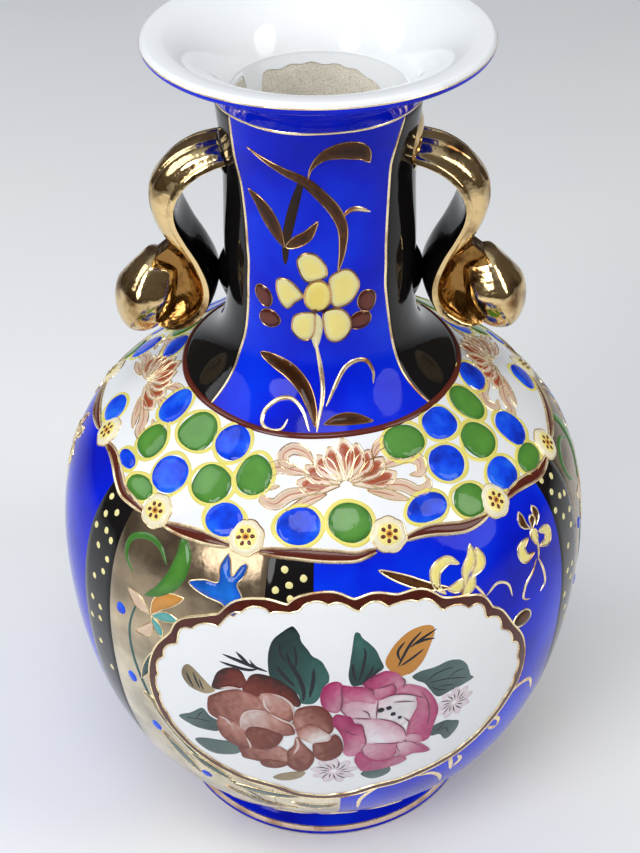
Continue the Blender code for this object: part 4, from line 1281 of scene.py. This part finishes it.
# Strokes on the leaves: width, spine
LEAF_STROKES = (
    (1.7, ((-4.2, 98.6), (-4.0, 103.0), (-5.0, 108.0), (-6.8, 113.0), (-7.4, 116.6))),
    (1.4, ((-3.0, 100.0), (-2.2, 106.0), (-2.0, 111.6))),
    (1.5, ((-5.4, 104.0), (-7.8, 108.0), (-9.4, 111.4))),
    (0.9, ((-7.4, 112.0), (-8.6, 116.0), (-8.6, 119.0))),
    (0.9, ((-5.6, 110.0), (-5.4, 114.6), (-6.0, 118.6))),
    (1.0, ((6.4, 104.8), (7.4, 110.0), (8.0, 115.0), (7.6, 117.6))),
    (1.1, ((6.2, 105.4), (5.6, 109.0), (5.5, 112.6))), (1.1, ((7.6, 105.8), (9.0, 108.6), (9.6, 111.2))),
    (0.8, ((8.6, 106.8), (10.2, 108.8), (11.0, 110.0))),
    (1.1, ((14.2, 108.4), (15.4, 112.0), (17.2, 116.0), (19.9, 119.2))),
    (1.0, ((15.0, 110.4), (14.4, 114.0), (16.2, 117.2))),
    (1.1, ((16.6, 114.4), (19.4, 116.4), (22.7, 118.2))),
    (1.0, ((17.0, 115.0), (20.0, 115.8), (22.2, 115.4))),
    (1.0, ((14.4, 108.8), (17.4, 111.0), (20.1, 113.3))),
    (0.6, ((20.0, 100.8), (22.0, 102.8), (24.6, 103.4), (26.6, 103.0))),
    (0.6, ((20.4, 100.4), (24.0, 99.8), (26.8, 98.6), (29.9, 96.5))),
    (0.6, ((21.0, 99.0), (23.0, 96.4), (25.2, 95.2))), (0.5, ((24.6, 99.6), (26.8, 101.0), (29.0, 101.0))),
    (0.5, ((22.4, 97.6), (24.6, 97.2), (27.0, 95.8))),
    (1.0, ((-28.4, 101.6), (-27.6, 98.4), (-26.6, 95.6))),
    (0.9, ((-26.8, 102.6), (-26.0, 99.0), (-25.2, 96.0))),
    (0.8, ((-25.4, 100.6), (-24.8, 97.4), (-24.2, 96.0))),
    (0.6, ((22.4, 78.2), (24.4, 79.6), (24.8, 81.8))), (0.6, ((23.0, 78.2), (25.6, 78.0), (26.6, 73.8))),
    (0.6, ((-30.0, 80.8), (-26.4, 82.6), (-23.0, 83.6))),
    (0.5, ((-27.0, 82.2), (-26.0, 85.4), (-25.0, 87.0))),
    (1.2, ((-11.0, 108.7), (-13.6, 109.6), (-16.4, 110.6), (-20.2, 111.7))),
    (1.1, ((-14.4, 109.8), (-16.0, 111.8), (-17.4, 113.6))),
    (1.1, ((-13.0, 109.0), (-15.4, 108.2), (-20.8, 108.9))),
    (0.8, ((-12.6, 109.0), (-13.8, 110.2), (-14.6, 111.8))),
)
# Dark lines between the pink rose's petals
PLUM_LINES = (
    ((10.4, 98.2), (10.2, 94.0), (10.1, 90.6)), ((7.2, 95.0), (8.4, 93.6), (8.9, 91.2)),
    ((5.4, 92.0), (7.2, 91.6), (9.2, 91.0)), ((13.4, 96.4), (15.6, 95.8), (17.8, 94.8)),
    ((8.0, 103.4), (9.4, 102.0), (9.4, 100.4)), ((10.2, 102.6), (12.0, 103.0), (13.4, 103.6)),
    ((13.3, 103.8), (13.9, 101.4), (13.8, 99.4)), ((15.0, 105.4), (15.8, 103.4), (15.4, 101.2)),
    ((3.2, 104.4), (3.4, 99.0), (3.2, 95.4), (4.2, 93.4)),
    ((11.0, 98.4), (13.0, 99.2), (15.4, 98.8), (18.0, 97.0), (20.0, 95.0)),
    ((10.4, 90.8), (13.0, 88.8), (14.6, 86.6), (16.0, 83.6), (16.6, 80.0)),
    ((6.2, 90.0), (7.4, 88.6), (7.8, 85.0), (8.2, 81.0), (7.4, 78.0), (8.0, 75.0), (9.0, 73.4)),
    ((9.6, 80.2), (12.0, 79.2), (14.4, 78.2), (16.8, 78.0), (18.6, 76.0), (20.4, 72.6), (22.4, 69.8)),
    ((14.5, 78.0), (14.9, 75.4), (15.6, 73.0)), ((19.2, 98.0), (20.6, 93.6), (21.2, 88.0), (21.0, 83.0)),
    ((15.6, 89.4), (16.8, 87.0), (17.0, 85.0)), ((3.6, 88.0), (5.0, 85.6), (6.6, 84.6)),
    ((7.0, 104.0), (8.4, 106.2), (11.0, 107.6)),
)
# Light rims of the rust rose's petals
RUST_LINES = (
    ((-16.9, 84.6), (-16.8, 88.0), (-15.8, 91.6), (-13.8, 93.5), (-11.6, 93.8)),
    ((-11.8, 99.0), (-11.6, 96.0), (-10.6, 93.6)),
    ((-10.8, 93.2), (-8.6, 91.2), (-6.4, 89.6), (-5.8, 86.8)),
    ((-10.2, 101.0), (-8.2, 100.2), (-6.4, 97.6), (-6.0, 94.0)),
    ((-20.8, 99.2), (-18.6, 100.6), (-16.2, 101.0)), ((-21.6, 87.4), (-20.0, 87.0), (-18.6, 84.4)),
    ((-15.9, 81.0), (-15.3, 78.0), (-15.3, 76.0)), ((-6.4, 76.0), (-5.4, 80.0), (-5.6, 84.0)),
)
ASTERS = ((1.8, 67.4, 6.6), (26.8, 88.6, 6.0))   # azimuth, s and size
ROSE_EYE = ((11.0, 94.0, 0.95), (12.6, 94.3, 0.8), (13.5, 91.5, 0.75), (14.9, 89.5, 0.6))


def wash(layer, outline, start, stop, first, last, turn, base, thick=0.05):
    """Brush-laid petal or leaf whose tone runs from first at start to last at stop."""
    degree = float(OUTSIDE.degree(np.array(outline)[:, 1].mean()))
    scale = np.array((degree, 1.0))
    loop = smooth_path(np.array(outline) * scale, 0.9, closed=True)
    flat, faces = fill_mesh([loop], 1.25, 0.3)
    rounded = np.clip(nearest_edge(flat, [loop]) / 0.3, 0.0, 1.0)
    way = (np.array(stop) - np.array(start)) * scale
    share = np.clip((flat - np.array(start) * scale) @ way / (way @ way), 0.0, 1.0)
    x, y = flat.T
    streak = 0.07 * np.sin(x * 2.1 + 3.0 * np.sin(y * 0.7)) * np.sin(y * 0.9 + x)
    edge = 0.15 * (1.0 - np.clip(nearest_edge(flat, [loop]) / 1.2, 0.0, 1.0))
    tone = np.clip(first + (last - first) * share + streak - edge, 0.0, 1.0)
    places = flat / scale
    layer.add(places[:, 0] + turn, places[:, 1], base - 0.02 + (thick + 0.02) * rounded, faces, tone)


def paint_petals(layer, petals, turn, base):
    """Overlapping petals, each a little higher than the one before."""
    for step, (outline, start, stop, first, last) in enumerate(petals):
        wash(layer, outline, start, stop, first, last, turn, base + 0.022 * step)


def paint_asters(layers, turn):
    """Pale asters of nine petals, with dark streaks that curl out from their middles."""
    for azimuth, s, size in ASTERS:
        degree = float(OUTSIDE.degree(s))
        for k in range(9):
            swing = math.radians(40.0 * k + 8.0)
            x, y = 0.58 * size * math.cos(swing), 0.58 * size * math.sin(swing)
            petal = blob(azimuth + turn + x / degree, s + y, 0.46 * size, 0.24 * size, math.degrees(swing))
            fill(layers["rose"], [petal], 0.13, 0.17, 0.2, 0.0, 1.4, (0.84, 0.98), 1.2)
        for k in range(14):
            swing = math.radians(25.7 * k)
            inner, outer = 0.22 * size, (0.62 + 0.22 * (k % 3) / 2.0) * size
            ends = [(azimuth + turn + q * math.cos(swing + 0.08 * q) / degree,
                     s + q * math.sin(swing + 0.08 * q))
                    for q in (inner, 0.5 * (inner + outer), outer)]
            stroke(layers["ink"], ends, 0.5, 0.05, 0.17, "swell", tone=0.7)


def offset_loop(loop, distance):
    """Move a closed (azimuth, s) outline outwards by a distance in mm, which may vary along it."""
    scale = np.array((float(OUTSIDE.degree(loop[:, 1].mean())), 1.0))
    flat = loop * scale
    ahead = np.roll(flat, -1, axis=0) - np.roll(flat, 1, axis=0)
    ahead /= np.maximum(np.linalg.norm(ahead, axis=1), 1e-9)[:, None]
    out = np.column_stack((-ahead[:, 1], ahead[:, 0]))
    return (flat + out * np.broadcast_to(distance, len(flat))[:, None]) / scale


def paint_frame(layers, turn):
    """White reserve with a lobed edge, in a wine-red band between gold lines."""
    degree = float(OUTSIDE.degree(90.0))
    edge = smooth_path(np.array(MEDALLION) * (degree, 1.0), 0.9, closed=True) / (degree, 1.0)
    steps = np.linalg.norm((np.roll(edge, -1, axis=0) - edge) * (degree, 1.0), axis=1)
    along = np.concatenate(([0.0], np.cumsum(steps)))[:-1]
    lobes = round(steps.sum() / 8.6)
    height = np.clip((edge[:, 1] - 62.0) / 40.0, 0.25, 1.0)
    swell = np.abs(np.sin(math.pi * lobes * along / steps.sum())) ** 0.7
    lobed = offset_loop(edge, 1.5 * height * swell - 0.5)
    outer = offset_loop(edge, 1.9 + 1.3 * height)
    fill(layers["reserve"], [lobed + (turn, 0.0)], 0.04, 0.11, 0.3, 0.0, 2.4)
    fill(layers["wine"], [outer + (turn, 0.0), lobed + (turn, 0.0)], 0.06, 0.38, 0.4, 0.0, 2.0, (0.2, 0.8))
    stroke(layers["gold"], lobed + (turn, 0.0), 0.55, 0.30, 0.12, closed=True, step=0.9)
    stroke(layers["gold"], outer + (turn, 0.0), 0.7, 0.44, 0.08, closed=True, step=0.9)


def paint_medallion(layers, turn):
    """Two roses with leaves, a twig and asters in a white reserve."""
    paint_frame(layers, turn)
    for colour, outline, start, stop, first, last in LEAVES:
        wash(layers[colour], outline, start, stop, first, last, turn, 0.11)
    paint_asters(layers, turn)
    for width, spine in LEAF_STROKES:
        stroke(layers["ink"], moved_round(spine, turn), width, 0.05, 0.15, "swell")
    paint_petals(layers["rust"], RUST_PETALS, turn, 0.13)
    paint_petals(layers["rose"], PINK_PETALS, turn, 0.13)
    for line in PLUM_LINES:
        stroke(layers["plum"], moved_round(line, turn), 0.42, 0.06, 0.36, "swell")
    for line in RUST_LINES:
        stroke(layers["rust"], moved_round(line, turn), 0.8, 0.06, 0.38, "swell", tone=0.86)
    for azimuth, s, size in ROSE_EYE:
        fill(layers["ink"], [blob(azimuth + turn, s, size, size)], 0.3, 0.46, 0.25, 0.0, 0.8)


# ---------------------------------------------------------------- painting: panel motifs

def meets_back_medallion(points):
    """True where a motif on the far side would run into the medallion there or crowd its upper edge."""
    places = np.array(points, float) - (HALF, 0.0)
    frame = [np.array(MEDALLION)]
    return bool(within(places, frame).any() or within(places - (0.0, 5.0), frame).any())


# Motifs of the lustre panel
GREEN_LOOP = ((-43.2, 124.6), (-46.2, 128.6), (-46.0, 133.6), (-42.0, 136.4), (-38.0, 135.6), (-35.0, 132.0))
GREEN_BLADE = ((-33.4, 141.0), (-31.6, 136.0), (-32.4, 129.4), (-35.6, 123.6), (-39.4, 120.0))
BIRD_BLOOM = (
    (-28.8, 130.4), (-25.4, 132.2), (-22.4, 132.6), (-22.6, 137.0), (-21.4, 140.6), (-20.4, 138.0),
    (-19.6, 135.0), (-17.9, 138.6), (-16.6, 138.8), (-17.0, 135.6), (-18.2, 133.2), (-16.8, 130.0),
    (-17.0, 126.8), (-18.6, 124.2), (-20.8, 127.0), (-24.4, 127.8), (-27.6, 129.0),
)
GARDEN_LEAVES = (  # colour, spine, width
    ("ochre", ((-37.0, 115.6), (-34.6, 121.0), (-29.4, 125.0)), 4.4),
    ("peach", ((-37.4, 115.2), (-40.4, 117.0), (-43.8, 119.4)), 4.0),
    ("teal", ((-36.8, 115.0), (-33.0, 117.0), (-30.0, 117.4)), 3.0),
    ("teal", ((-36.8, 114.6), (-35.0, 112.0), (-34.0, 109.6)), 3.0),
    ("peach", ((-36.4, 113.0), (-38.0, 109.0), (-41.0, 106.6)), 3.2),
    ("leaf", ((-40.6, 88.0), (-38.0, 96.0), (-35.0, 105.0)), 2.8),
    ("tan", ((-34.6, 74.0), (-38.0, 80.0), (-41.0, 82.0)), 3.0),
    ("leaf", ((-31.0, 62.0), (-26.0, 57.0), (-21.0, 53.0)), 4.0),
    ("sage", ((-38.0, 66.0), (-33.0, 56.0), (-30.0, 48.0)), 4.6),
)
GARDEN_STEM = (
    (-41.0, 116.0), (-42.4, 110.0), (-43.0, 104.0), (-42.4, 96.0), (-40.8, 88.0), (-38.0, 78.0),
    (-33.0, 68.0), (-27.0, 58.0), (-20.0, 50.0), (-15.0, 42.0),
)
GARDEN_BERRIES = ((-45.6, 110.6), (-43.8, 85.4), (-39.4, 67.0), (-28.6, 50.0))

# Motifs of the cobalt panel
BROWN_BLADE = ((12.0, 138.0), (17.4, 134.2), (22.0, 131.0), (27.0, 128.4))
YELLOW_PETALS = (
    ((25.6, 127.4), (23.9, 130.4), (24.4, 134.4), (27.6, 136.0), (30.0, 134.0)),
    ((30.4, 127.6), (31.0, 131.0), (33.2, 134.0), (34.0, 137.6)),
    ((32.0, 129.0), (35.0, 131.6), (35.2, 136.0)),
    ((26.0, 128.6), (28.4, 128.0), (30.0, 129.6)),
    ((29.0, 125.4), (31.0, 126.6), (32.8, 129.4)),
    ((50.0, 124.4), (47.0, 125.0), (46.6, 128.4), (49.4, 129.6)),
    ((52.4, 124.6), (55.6, 124.0), (56.0, 127.0), (53.4, 128.6)),
    ((51.4, 126.0), (51.6, 128.4), (51.4, 131.0)),
)
BROWN_SEPALS = (
    ((51.0, 131.4), (49.6, 134.0), (50.0, 137.4)),
    ((53.4, 130.8), (54.6, 133.0), (54.6, 136.0)),
    ((51.6, 131.0), (52.6, 132.6), (52.8, 134.4)),
)
GILT_TENDRILS = (
    ((31.8, 128.0), (33.4, 124.6), (34.8, 121.4)),
    ((34.8, 121.6), (38.0, 123.6), (40.8, 121.4), (41.6, 116.8)),
    ((50.4, 122.0), (48.6, 119.4), (45.8, 117.0), (44.8, 113.4), (46.8, 111.4)),
    ((51.0, 122.0), (52.2, 117.0), (52.4, 112.4), (50.4, 110.6)),
    ((51.6, 131.0), (52.0, 126.0), (51.0, 121.0)),
)
FOOT_SCROLLS = (
    ((37.6, 71.0), (40.6, 75.6), (45.6, 77.6), (50.4, 74.6), (53.0, 67.0)),
    ((36.4, 68.6), (39.0, 69.4), (41.4, 66.0), (41.6, 62.0)),
    ((38.0, 66.0), (39.6, 63.6), (41.6, 62.0)),
    ((8.0, 36.0), (8.2, 46.0), (11.0, 53.0), (14.4, 55.6)),
    ((20.4, 55.4), (24.6, 53.4), (27.8, 47.6), (29.4, 41.0)),
    ((28.4, 61.0), (29.6, 55.0), (30.6, 49.0)),
    ((31.0, 58.0), (32.4, 54.0), (31.0, 50.6)),
)

# Yellow spots on the black bands
BAND_SPOTS = (
    (-10.0, 133.4), (-8.4, 139.0), (-7.2, 135.0), (-4.2, 137.0), (-6.8, 131.4), (-4.0, 131.8),
    (63.4, 133.2), (65.8, 129.6), (61.8, 128.2), (68.2, 128.2), (64.4, 123.6), (68.4, 122.2), (66.6, 136.0),
    (62.4, 138.2), (63.6, 104.4), (66.8, 103.6), (66.4, 98.8), (62.6, 96.2), (64.4, 113.0), (67.6, 117.4),
    (65.0, 88.0), (68.0, 80.0),
)


def paint_lustre_garden(layers, turn):
    """Green loop, blue bird-like bloom, small orange bloom and stems on a lustre panel."""
    loop = moved_round(GREEN_LOOP, turn)
    if not meets_back_medallion(loop):
        stroke(layers["green"], loop, 2.0, 0.22, 0.03, "swell", tone=0.1)
    blade = leaf_shape(moved_round(GREEN_BLADE, turn), 5.6, 0.4)
    if not meets_back_medallion(blade):
        fill(layers["green"], [blade], 0.03, 0.22, 0.4, 0.08, 1.6, (0.0, 0.5), 2.0)
    bird = moved_round(BIRD_BLOOM, turn)
    fill(layers["sky"], [smooth_path(bird, 0.9, closed=True)], 0.03, 0.24, 0.5, 0.10, 1.4, (0.2, 1.0), 2.2)
    stroke(layers["gold"], bird, 0.4, 0.25, 0.06, closed=True)
    for colour, spine, width in GARDEN_LEAVES:
        shape = leaf_shape(moved_round(spine, turn), width, 0.5)
        if not meets_back_medallion(shape):
            fill(layers[colour], [shape], 0.03, 0.18, 0.3, 0.05, 1.5, (0.3, 0.8), 1.6)
            stroke(layers["gold"], shape, 0.4, 0.22, 0.04, closed=True)
    stem = moved_round(GARDEN_STEM, turn)
    if not meets_back_medallion(stem):
        stroke(layers["leaf"], stem, 1.5, 0.2, 0.03, "swell", tone=0.8)
    for azimuth, s in GARDEN_BERRIES:
        loop = blob(azimuth + turn, s, 1.9, 2.0)
        if not meets_back_medallion(loop):
            fill(layers["blue"], [loop], 0.03, 0.25, 0.4, 0.1, 1.2, (0.3, 0.9), 1.4)


def paint_apron(layers):
    """Pale leaves in gold outline on the apron below the front medallion."""
    for spine in APRON_LEAVES:
        shape = leaf_shape(spine, 4.2, 0.5)
        fill(layers["sage"], [shape], 0.06, 0.20, 0.3, 0.05, 1.5, (0.3, 0.8), 1.6)
        stroke(layers["gold"], shape, 0.4, 0.22, 0.06, closed=True)


def paint_blue_garden(layers, turn):
    """Gilt blade, two yellow blooms and tendrils on a cobalt panel, with scrolls towards the foot."""
    blade = leaf_shape(moved_round(BROWN_BLADE, turn), 2.6, 0.45)
    fill(layers["brown"], [blade], 0.0, 0.2, 0.3, 0.08, 1.3, (0.5, 1.0), 1.0)
    stroke(layers["gold"], blade, 0.5, 0.25, 0.02, closed=True)
    for spine in YELLOW_PETALS:
        shape = leaf_shape(moved_round(spine, turn), 3.0, 0.55)
        if not meets_back_medallion(shape):
            fill(layers["cream"], [shape], 0.0, 0.26, 0.4, 0.08, 1.2, (0.0, 0.9), 1.3)
            stroke(layers["gold"], shape, 0.6, 0.34, 0.03, closed=True, step=0.8)
    for spine in BROWN_SEPALS:
        shape = leaf_shape(moved_round(spine, turn), 2.4, 0.6)
        if not meets_back_medallion(shape):
            fill(layers["brown"], [shape], 0.0, 0.14, 0.3, 0.05, 1.2, (0.5, 1.0), 1.3)
            stroke(layers["gold"], shape, 0.5, 0.30, 0.03, closed=True, step=0.8)
    bud = blob(44.2 + turn, 106.8, 3.6, 2.6, -15.0)
    if not meets_back_medallion(bud):
        fill(layers["brown"], [bud], 0.0, 0.3, 0.5, 0.15, 1.2, (0.4, 1.0), 1.6)
        stroke(layers["gold"], bud, 0.6, 0.3, 0.05, closed=True)
    for width, lines in ((0.9, GILT_TENDRILS), (1.5, FOOT_SCROLLS)):
        for line in lines:
            path = moved_round(line, turn)
            if not meets_back_medallion(path):
                stroke(layers["gold"], path, width, 0.3, 0.0, "swell")


def paint_band_dots(layers):
    """Yellow spots on the black bands."""
    for turn in range(3):
        for azimuth, s in BAND_SPOTS:
            spot = blob(azimuth + SECTOR * turn, s, 1.0, 1.0)
            if not meets_back_medallion(spot):
                fill(layers["cream"], [spot], 0.03, 0.2, 0.35, 0.0, 0.9, (0.2, 0.6))


def paint_foot_band(layers, foot):
    """Gilt lappets above the foot, and the foot ring's gold stripe."""
    lustre = Layer("base_lappets", LUSTRE)
    count = 24
    for k in range(count):
        azimuth = 360.0 * k / count + 4.0
        tongue = [(azimuth - 6.4, 4.0), (azimuth - 6.0, 16.0), (azimuth, 25.5 + 1.5 * (k % 2)),
                  (azimuth + 6.0, 16.0), (azimuth + 6.4, 4.0)]
        fill(lustre, [smooth_path(tongue, 2.0)], 0.05, 0.14, 0.3, 0.0, 2.2, (0.35, 0.05), 4.0)
        stroke(layers["gold"], tongue, 0.8, 0.25, 0.06)
    lustre.make()
    stripe = Layer("foot_gold_stripe", ROSE_GOLD, "foot_glaze", foot)
    ring(stripe, 4.4, 2.4, 0.10, 0.0, 0.06)
    ring(stripe, 1.5, 0.7, 0.08, 0.0, 0.03)
    stripe.make()


def paint_rings(layers):
    """Lines right round the vase: at the foot of the neck, at its top and on the lip."""
    ring(layers["wine"], NECK_S, 1.9, 0.35, 0.02, 0.15)
    ring(layers["gold_neck"], RING_S, 0.75, 0.22, 0.0, 0.12)
    lip_s = OUTSIDE.s[-1]
    ring(layers["gold_lip"], lip_s - 2.05, 0.4, 0.05, 0.0, 0.03)


def paint_throat():
    """White glaze that runs down from the flare over the bare inside of the neck."""
    glaze = Layer("throat_glaze", WHITE, "white_glaze", INSIDE)
    count = 360
    rows = 16
    top = INSIDE.s_at(MOUTH_JOINT - 0.4)
    azimuths, along, lifts = [], [], []
    for k in range(count):
        azimuth = 360.0 * k / count
        run = (15.0 * math.exp(-((azimuth - 231.0) / 7.0) ** 4)
               - 1.9 / (1.0 + math.exp((233.0 - azimuth) / 2.0)))
        side = min(14.0, 0.11 * max(0.0, 165.0 - azimuth)) + 16.0 / (1.0 + math.exp((276.0 - azimuth) / 4.0))
        ripple = 0.25 * math.sin(math.radians(9.0 * azimuth)) + 0.25 * math.sin(math.radians(23.0 * azimuth))
        bottom = INSIDE.s_at(MOUTH_JOINT - 2.9 - run - side - ripple)
        for j in range(rows + 1):
            share = (j / rows) ** 1.6
            azimuths.append(azimuth)
            along.append(bottom + (top - bottom) * share)
            lifts.append(-0.03 if j == 0 else 0.26 * (1.0 - share))
    faces = []
    wide = rows + 1
    for k in range(count):
        after = (k + 1) % count
        for j in range(rows):
            faces.append((k * wide + j, after * wide + j, after * wide + j + 1, k * wide + j + 1))
    glaze.add(np.array(azimuths), np.array(along), np.array(lifts), faces, 0.7)
    glaze.make()


def new_layers():
    """One empty layer for each colour on each glazed section, by the name the painters use."""
    return {
        "yellow": Layer("yellow_dot_rims", YELLOW),
        "green": Layer("green_enamel_work", GREEN),
        "blue": Layer("blue_enamel_work", BLUE),
        "cream": Layer("cream_enamel_work", CREAM),
        "brown": Layer("brown_enamel_work", BROWN),
        "gold": Layer("gold_line_work", GOLD_LINE),
        "iron": Layer("lotus_red_work", IRON),
        "pale": Layer("rosette_rims", PALE),
        "orange": Layer("orange_touches", ORANGE),
        "sky": Layer("sky_blue_work", SKY),
        "peach": Layer("peach_wash_work", PEACH),
        "reserve": Layer("medallion_reserve", WHITE),
        "wine": Layer("wine_lines", WINE),
        "leaf": Layer("dark_leaf_work", LEAF),
        "ochre": Layer("ochre_leaf_work", OCHRE),
        "tan": Layer("tan_leaf_work", TAN),
        "sage": Layer("grey_leaf_work", SAGE),
        "plum": Layer("plum_line_work", PLUM),
        "teal": Layer("teal_petal_work", TEAL),
        "ink": Layer("ink_stroke_work", INK),
        "rose": Layer("pink_rose_work", ROSE),
        "rust": Layer("rust_rose_work", RUST),
        "gold_neck": Layer("neck_gold_work", GOLD_LINE, "neck_glaze"),
        "bronze_neck": Layer("neck_bronze_work", BRONZE, "neck_glaze"),
        "brown_neck": Layer("neck_brown_work", BROWN, "neck_glaze"),
        "cream_neck": Layer("neck_flower_work", CREAM, "neck_glaze"),
        "gold_lip": Layer("lip_gold_line", GOLD_LINE, "white_glaze"),
    }


def paint_vase(foot):
    """All of the painting, from the ground colours to the finest lines."""
    layers = new_layers()
    paint_panels()
    paint_collar()
    paint_dots(layers)
    paint_rosettes(layers)
    paint_scallops(layers)
    for azimuth in (7.0, 95.0, 187.0, 274.0):
        paint_lotus(layers, azimuth)
    paint_neck_bands(layers)
    for turn in (0.0, HALF):
        paint_neck_leaves(layers, turn)
        paint_neck_flower(layers, turn)
        paint_medallion(layers, turn)
    for turn in range(3):
        paint_lustre_garden(layers, SECTOR * turn)
        paint_blue_garden(layers, SECTOR * turn - (22.0 if turn == 2 else 0.0))
    paint_apron(layers)
    paint_band_dots(layers)
    paint_foot_band(layers, foot)
    paint_rings(layers)
    paint_throat()
    for layer in layers.values():
        layer.make()


# ---------------------------------------------------------------- stage, light and camera

def make_stage():
    """Plain pale floor."""
    bpy.ops.mesh.primitive_plane_add(size=6.0, location=(0.0, 0.0, 0.0))
    floor = bpy.context.object
    floor.name = "floor"
    material, tree, shader = new_material("pale_floor", 0.55)
    cloud = add_noise(tree, 6.0)
    colour = add_ramp(tree, cloud, ((0.82, 0.84, 0.86), (0.90, 0.90, 0.90)))
    tree.links.new(colour, shader.inputs["Base Color"])
    floor.data.materials.append(material)


def add_area(name, place, size, power, colour=(1.0, 1.0, 1.0)):
    """Round soft light at a place, aimed at the middle of the vase."""
    light = bpy.data.lights.new(name, "AREA")
    light.shape = "ELLIPSE"
    light.size, light.size_y = size
    light.energy = power
    light.color = colour
    lamp = bpy.data.objects.new(name, light)
    lamp.location = place
    aim = Vector((0.0, 0.0, 0.12)) - Vector(place)
    lamp.rotation_euler = aim.to_track_quat("-Z", "Y").to_euler()
    bpy.context.scene.collection.objects.link(lamp)


def make_light():
    """Soft studio: bright overhead, dim towards the horizon, with softboxes over the front and sides."""
    world = bpy.data.worlds.new("studio")
    bpy.context.scene.world = world
    world.use_nodes = True
    tree = world.node_tree
    background = tree.nodes["Background"]
    direction = tree.nodes.new("ShaderNodeTexCoord")
    split = tree.nodes.new("ShaderNodeSeparateXYZ")
    tree.links.new(direction.outputs["Generated"], split.inputs["Vector"])
    ramp = tree.nodes.new("ShaderNodeValToRGB")
    stops = ((0.0, (0.10, 0.085, 0.07)), (0.30, (0.14, 0.12, 0.11)), (0.62, (0.16, 0.16, 0.17)),
             (0.84, (0.60, 0.64, 0.70)), (1.0, (0.95, 1.0, 1.06)))
    while len(ramp.color_ramp.elements) < len(stops):
        ramp.color_ramp.elements.new(0.5)
    for element, (position, colour) in zip(ramp.color_ramp.elements, stops):
        element.position = position
        element.color = (*colour, 1.0)
    tree.links.new(split.outputs["Z"], ramp.inputs["Fac"])
    tree.links.new(ramp.outputs["Color"], background.inputs["Color"])
    background.inputs["Strength"].default_value = 0.85
    add_area("front_softbox", (0.0, -0.42, 1.12), (0.50, 0.34), 2.4, (1.0, 0.99, 0.97))
    add_area("key_softbox", (-0.62, -0.72, 0.80), (0.50, 0.60), 6.0, (1.0, 0.99, 0.98))
    add_area("left_softbox", (-0.85, 0.10, 0.85), (0.60, 0.80), 3.2, (0.93, 0.97, 1.0))
    add_area("right_softbox", (0.85, -0.30, 0.75), (0.46, 0.80), 4.0, (1.0, 0.97, 0.93))


def make_camera():
    """Camera above and in front of the vase, tipped down, with a slight roll."""
    data = bpy.data.cameras.new("camera")
    data.sensor_fit = "HORIZONTAL"
    data.sensor_width = 36.0
    data.lens = 78.75
    camera = bpy.data.objects.new("camera", data)
    forward = Vector((-0.00135, 0.79404, -0.60787)).normalized()
    right = forward.cross(Vector((0.0, 0.0, 1.0))).normalized()
    up = right.cross(forward)
    roll = -0.011
    across = right * math.cos(roll) + up * math.sin(roll)
    upward = up * math.cos(roll) - right * math.sin(roll)
    matrix = Matrix((across, upward, -forward)).transposed().to_4x4()
    matrix.translation = (0.0, -0.33479, 0.38682)
    camera.matrix_world = matrix
    bpy.context.scene.collection.objects.link(camera)
    bpy.context.scene.camera = camera


foot_surface = make_foot()
make_belly()
make_neck()
make_mouth()
make_handles()
paint_vase(foot_surface)
make_stage()
make_light()
make_camera()
bpy.context.scene.view_settings.view_transform = "Standard"
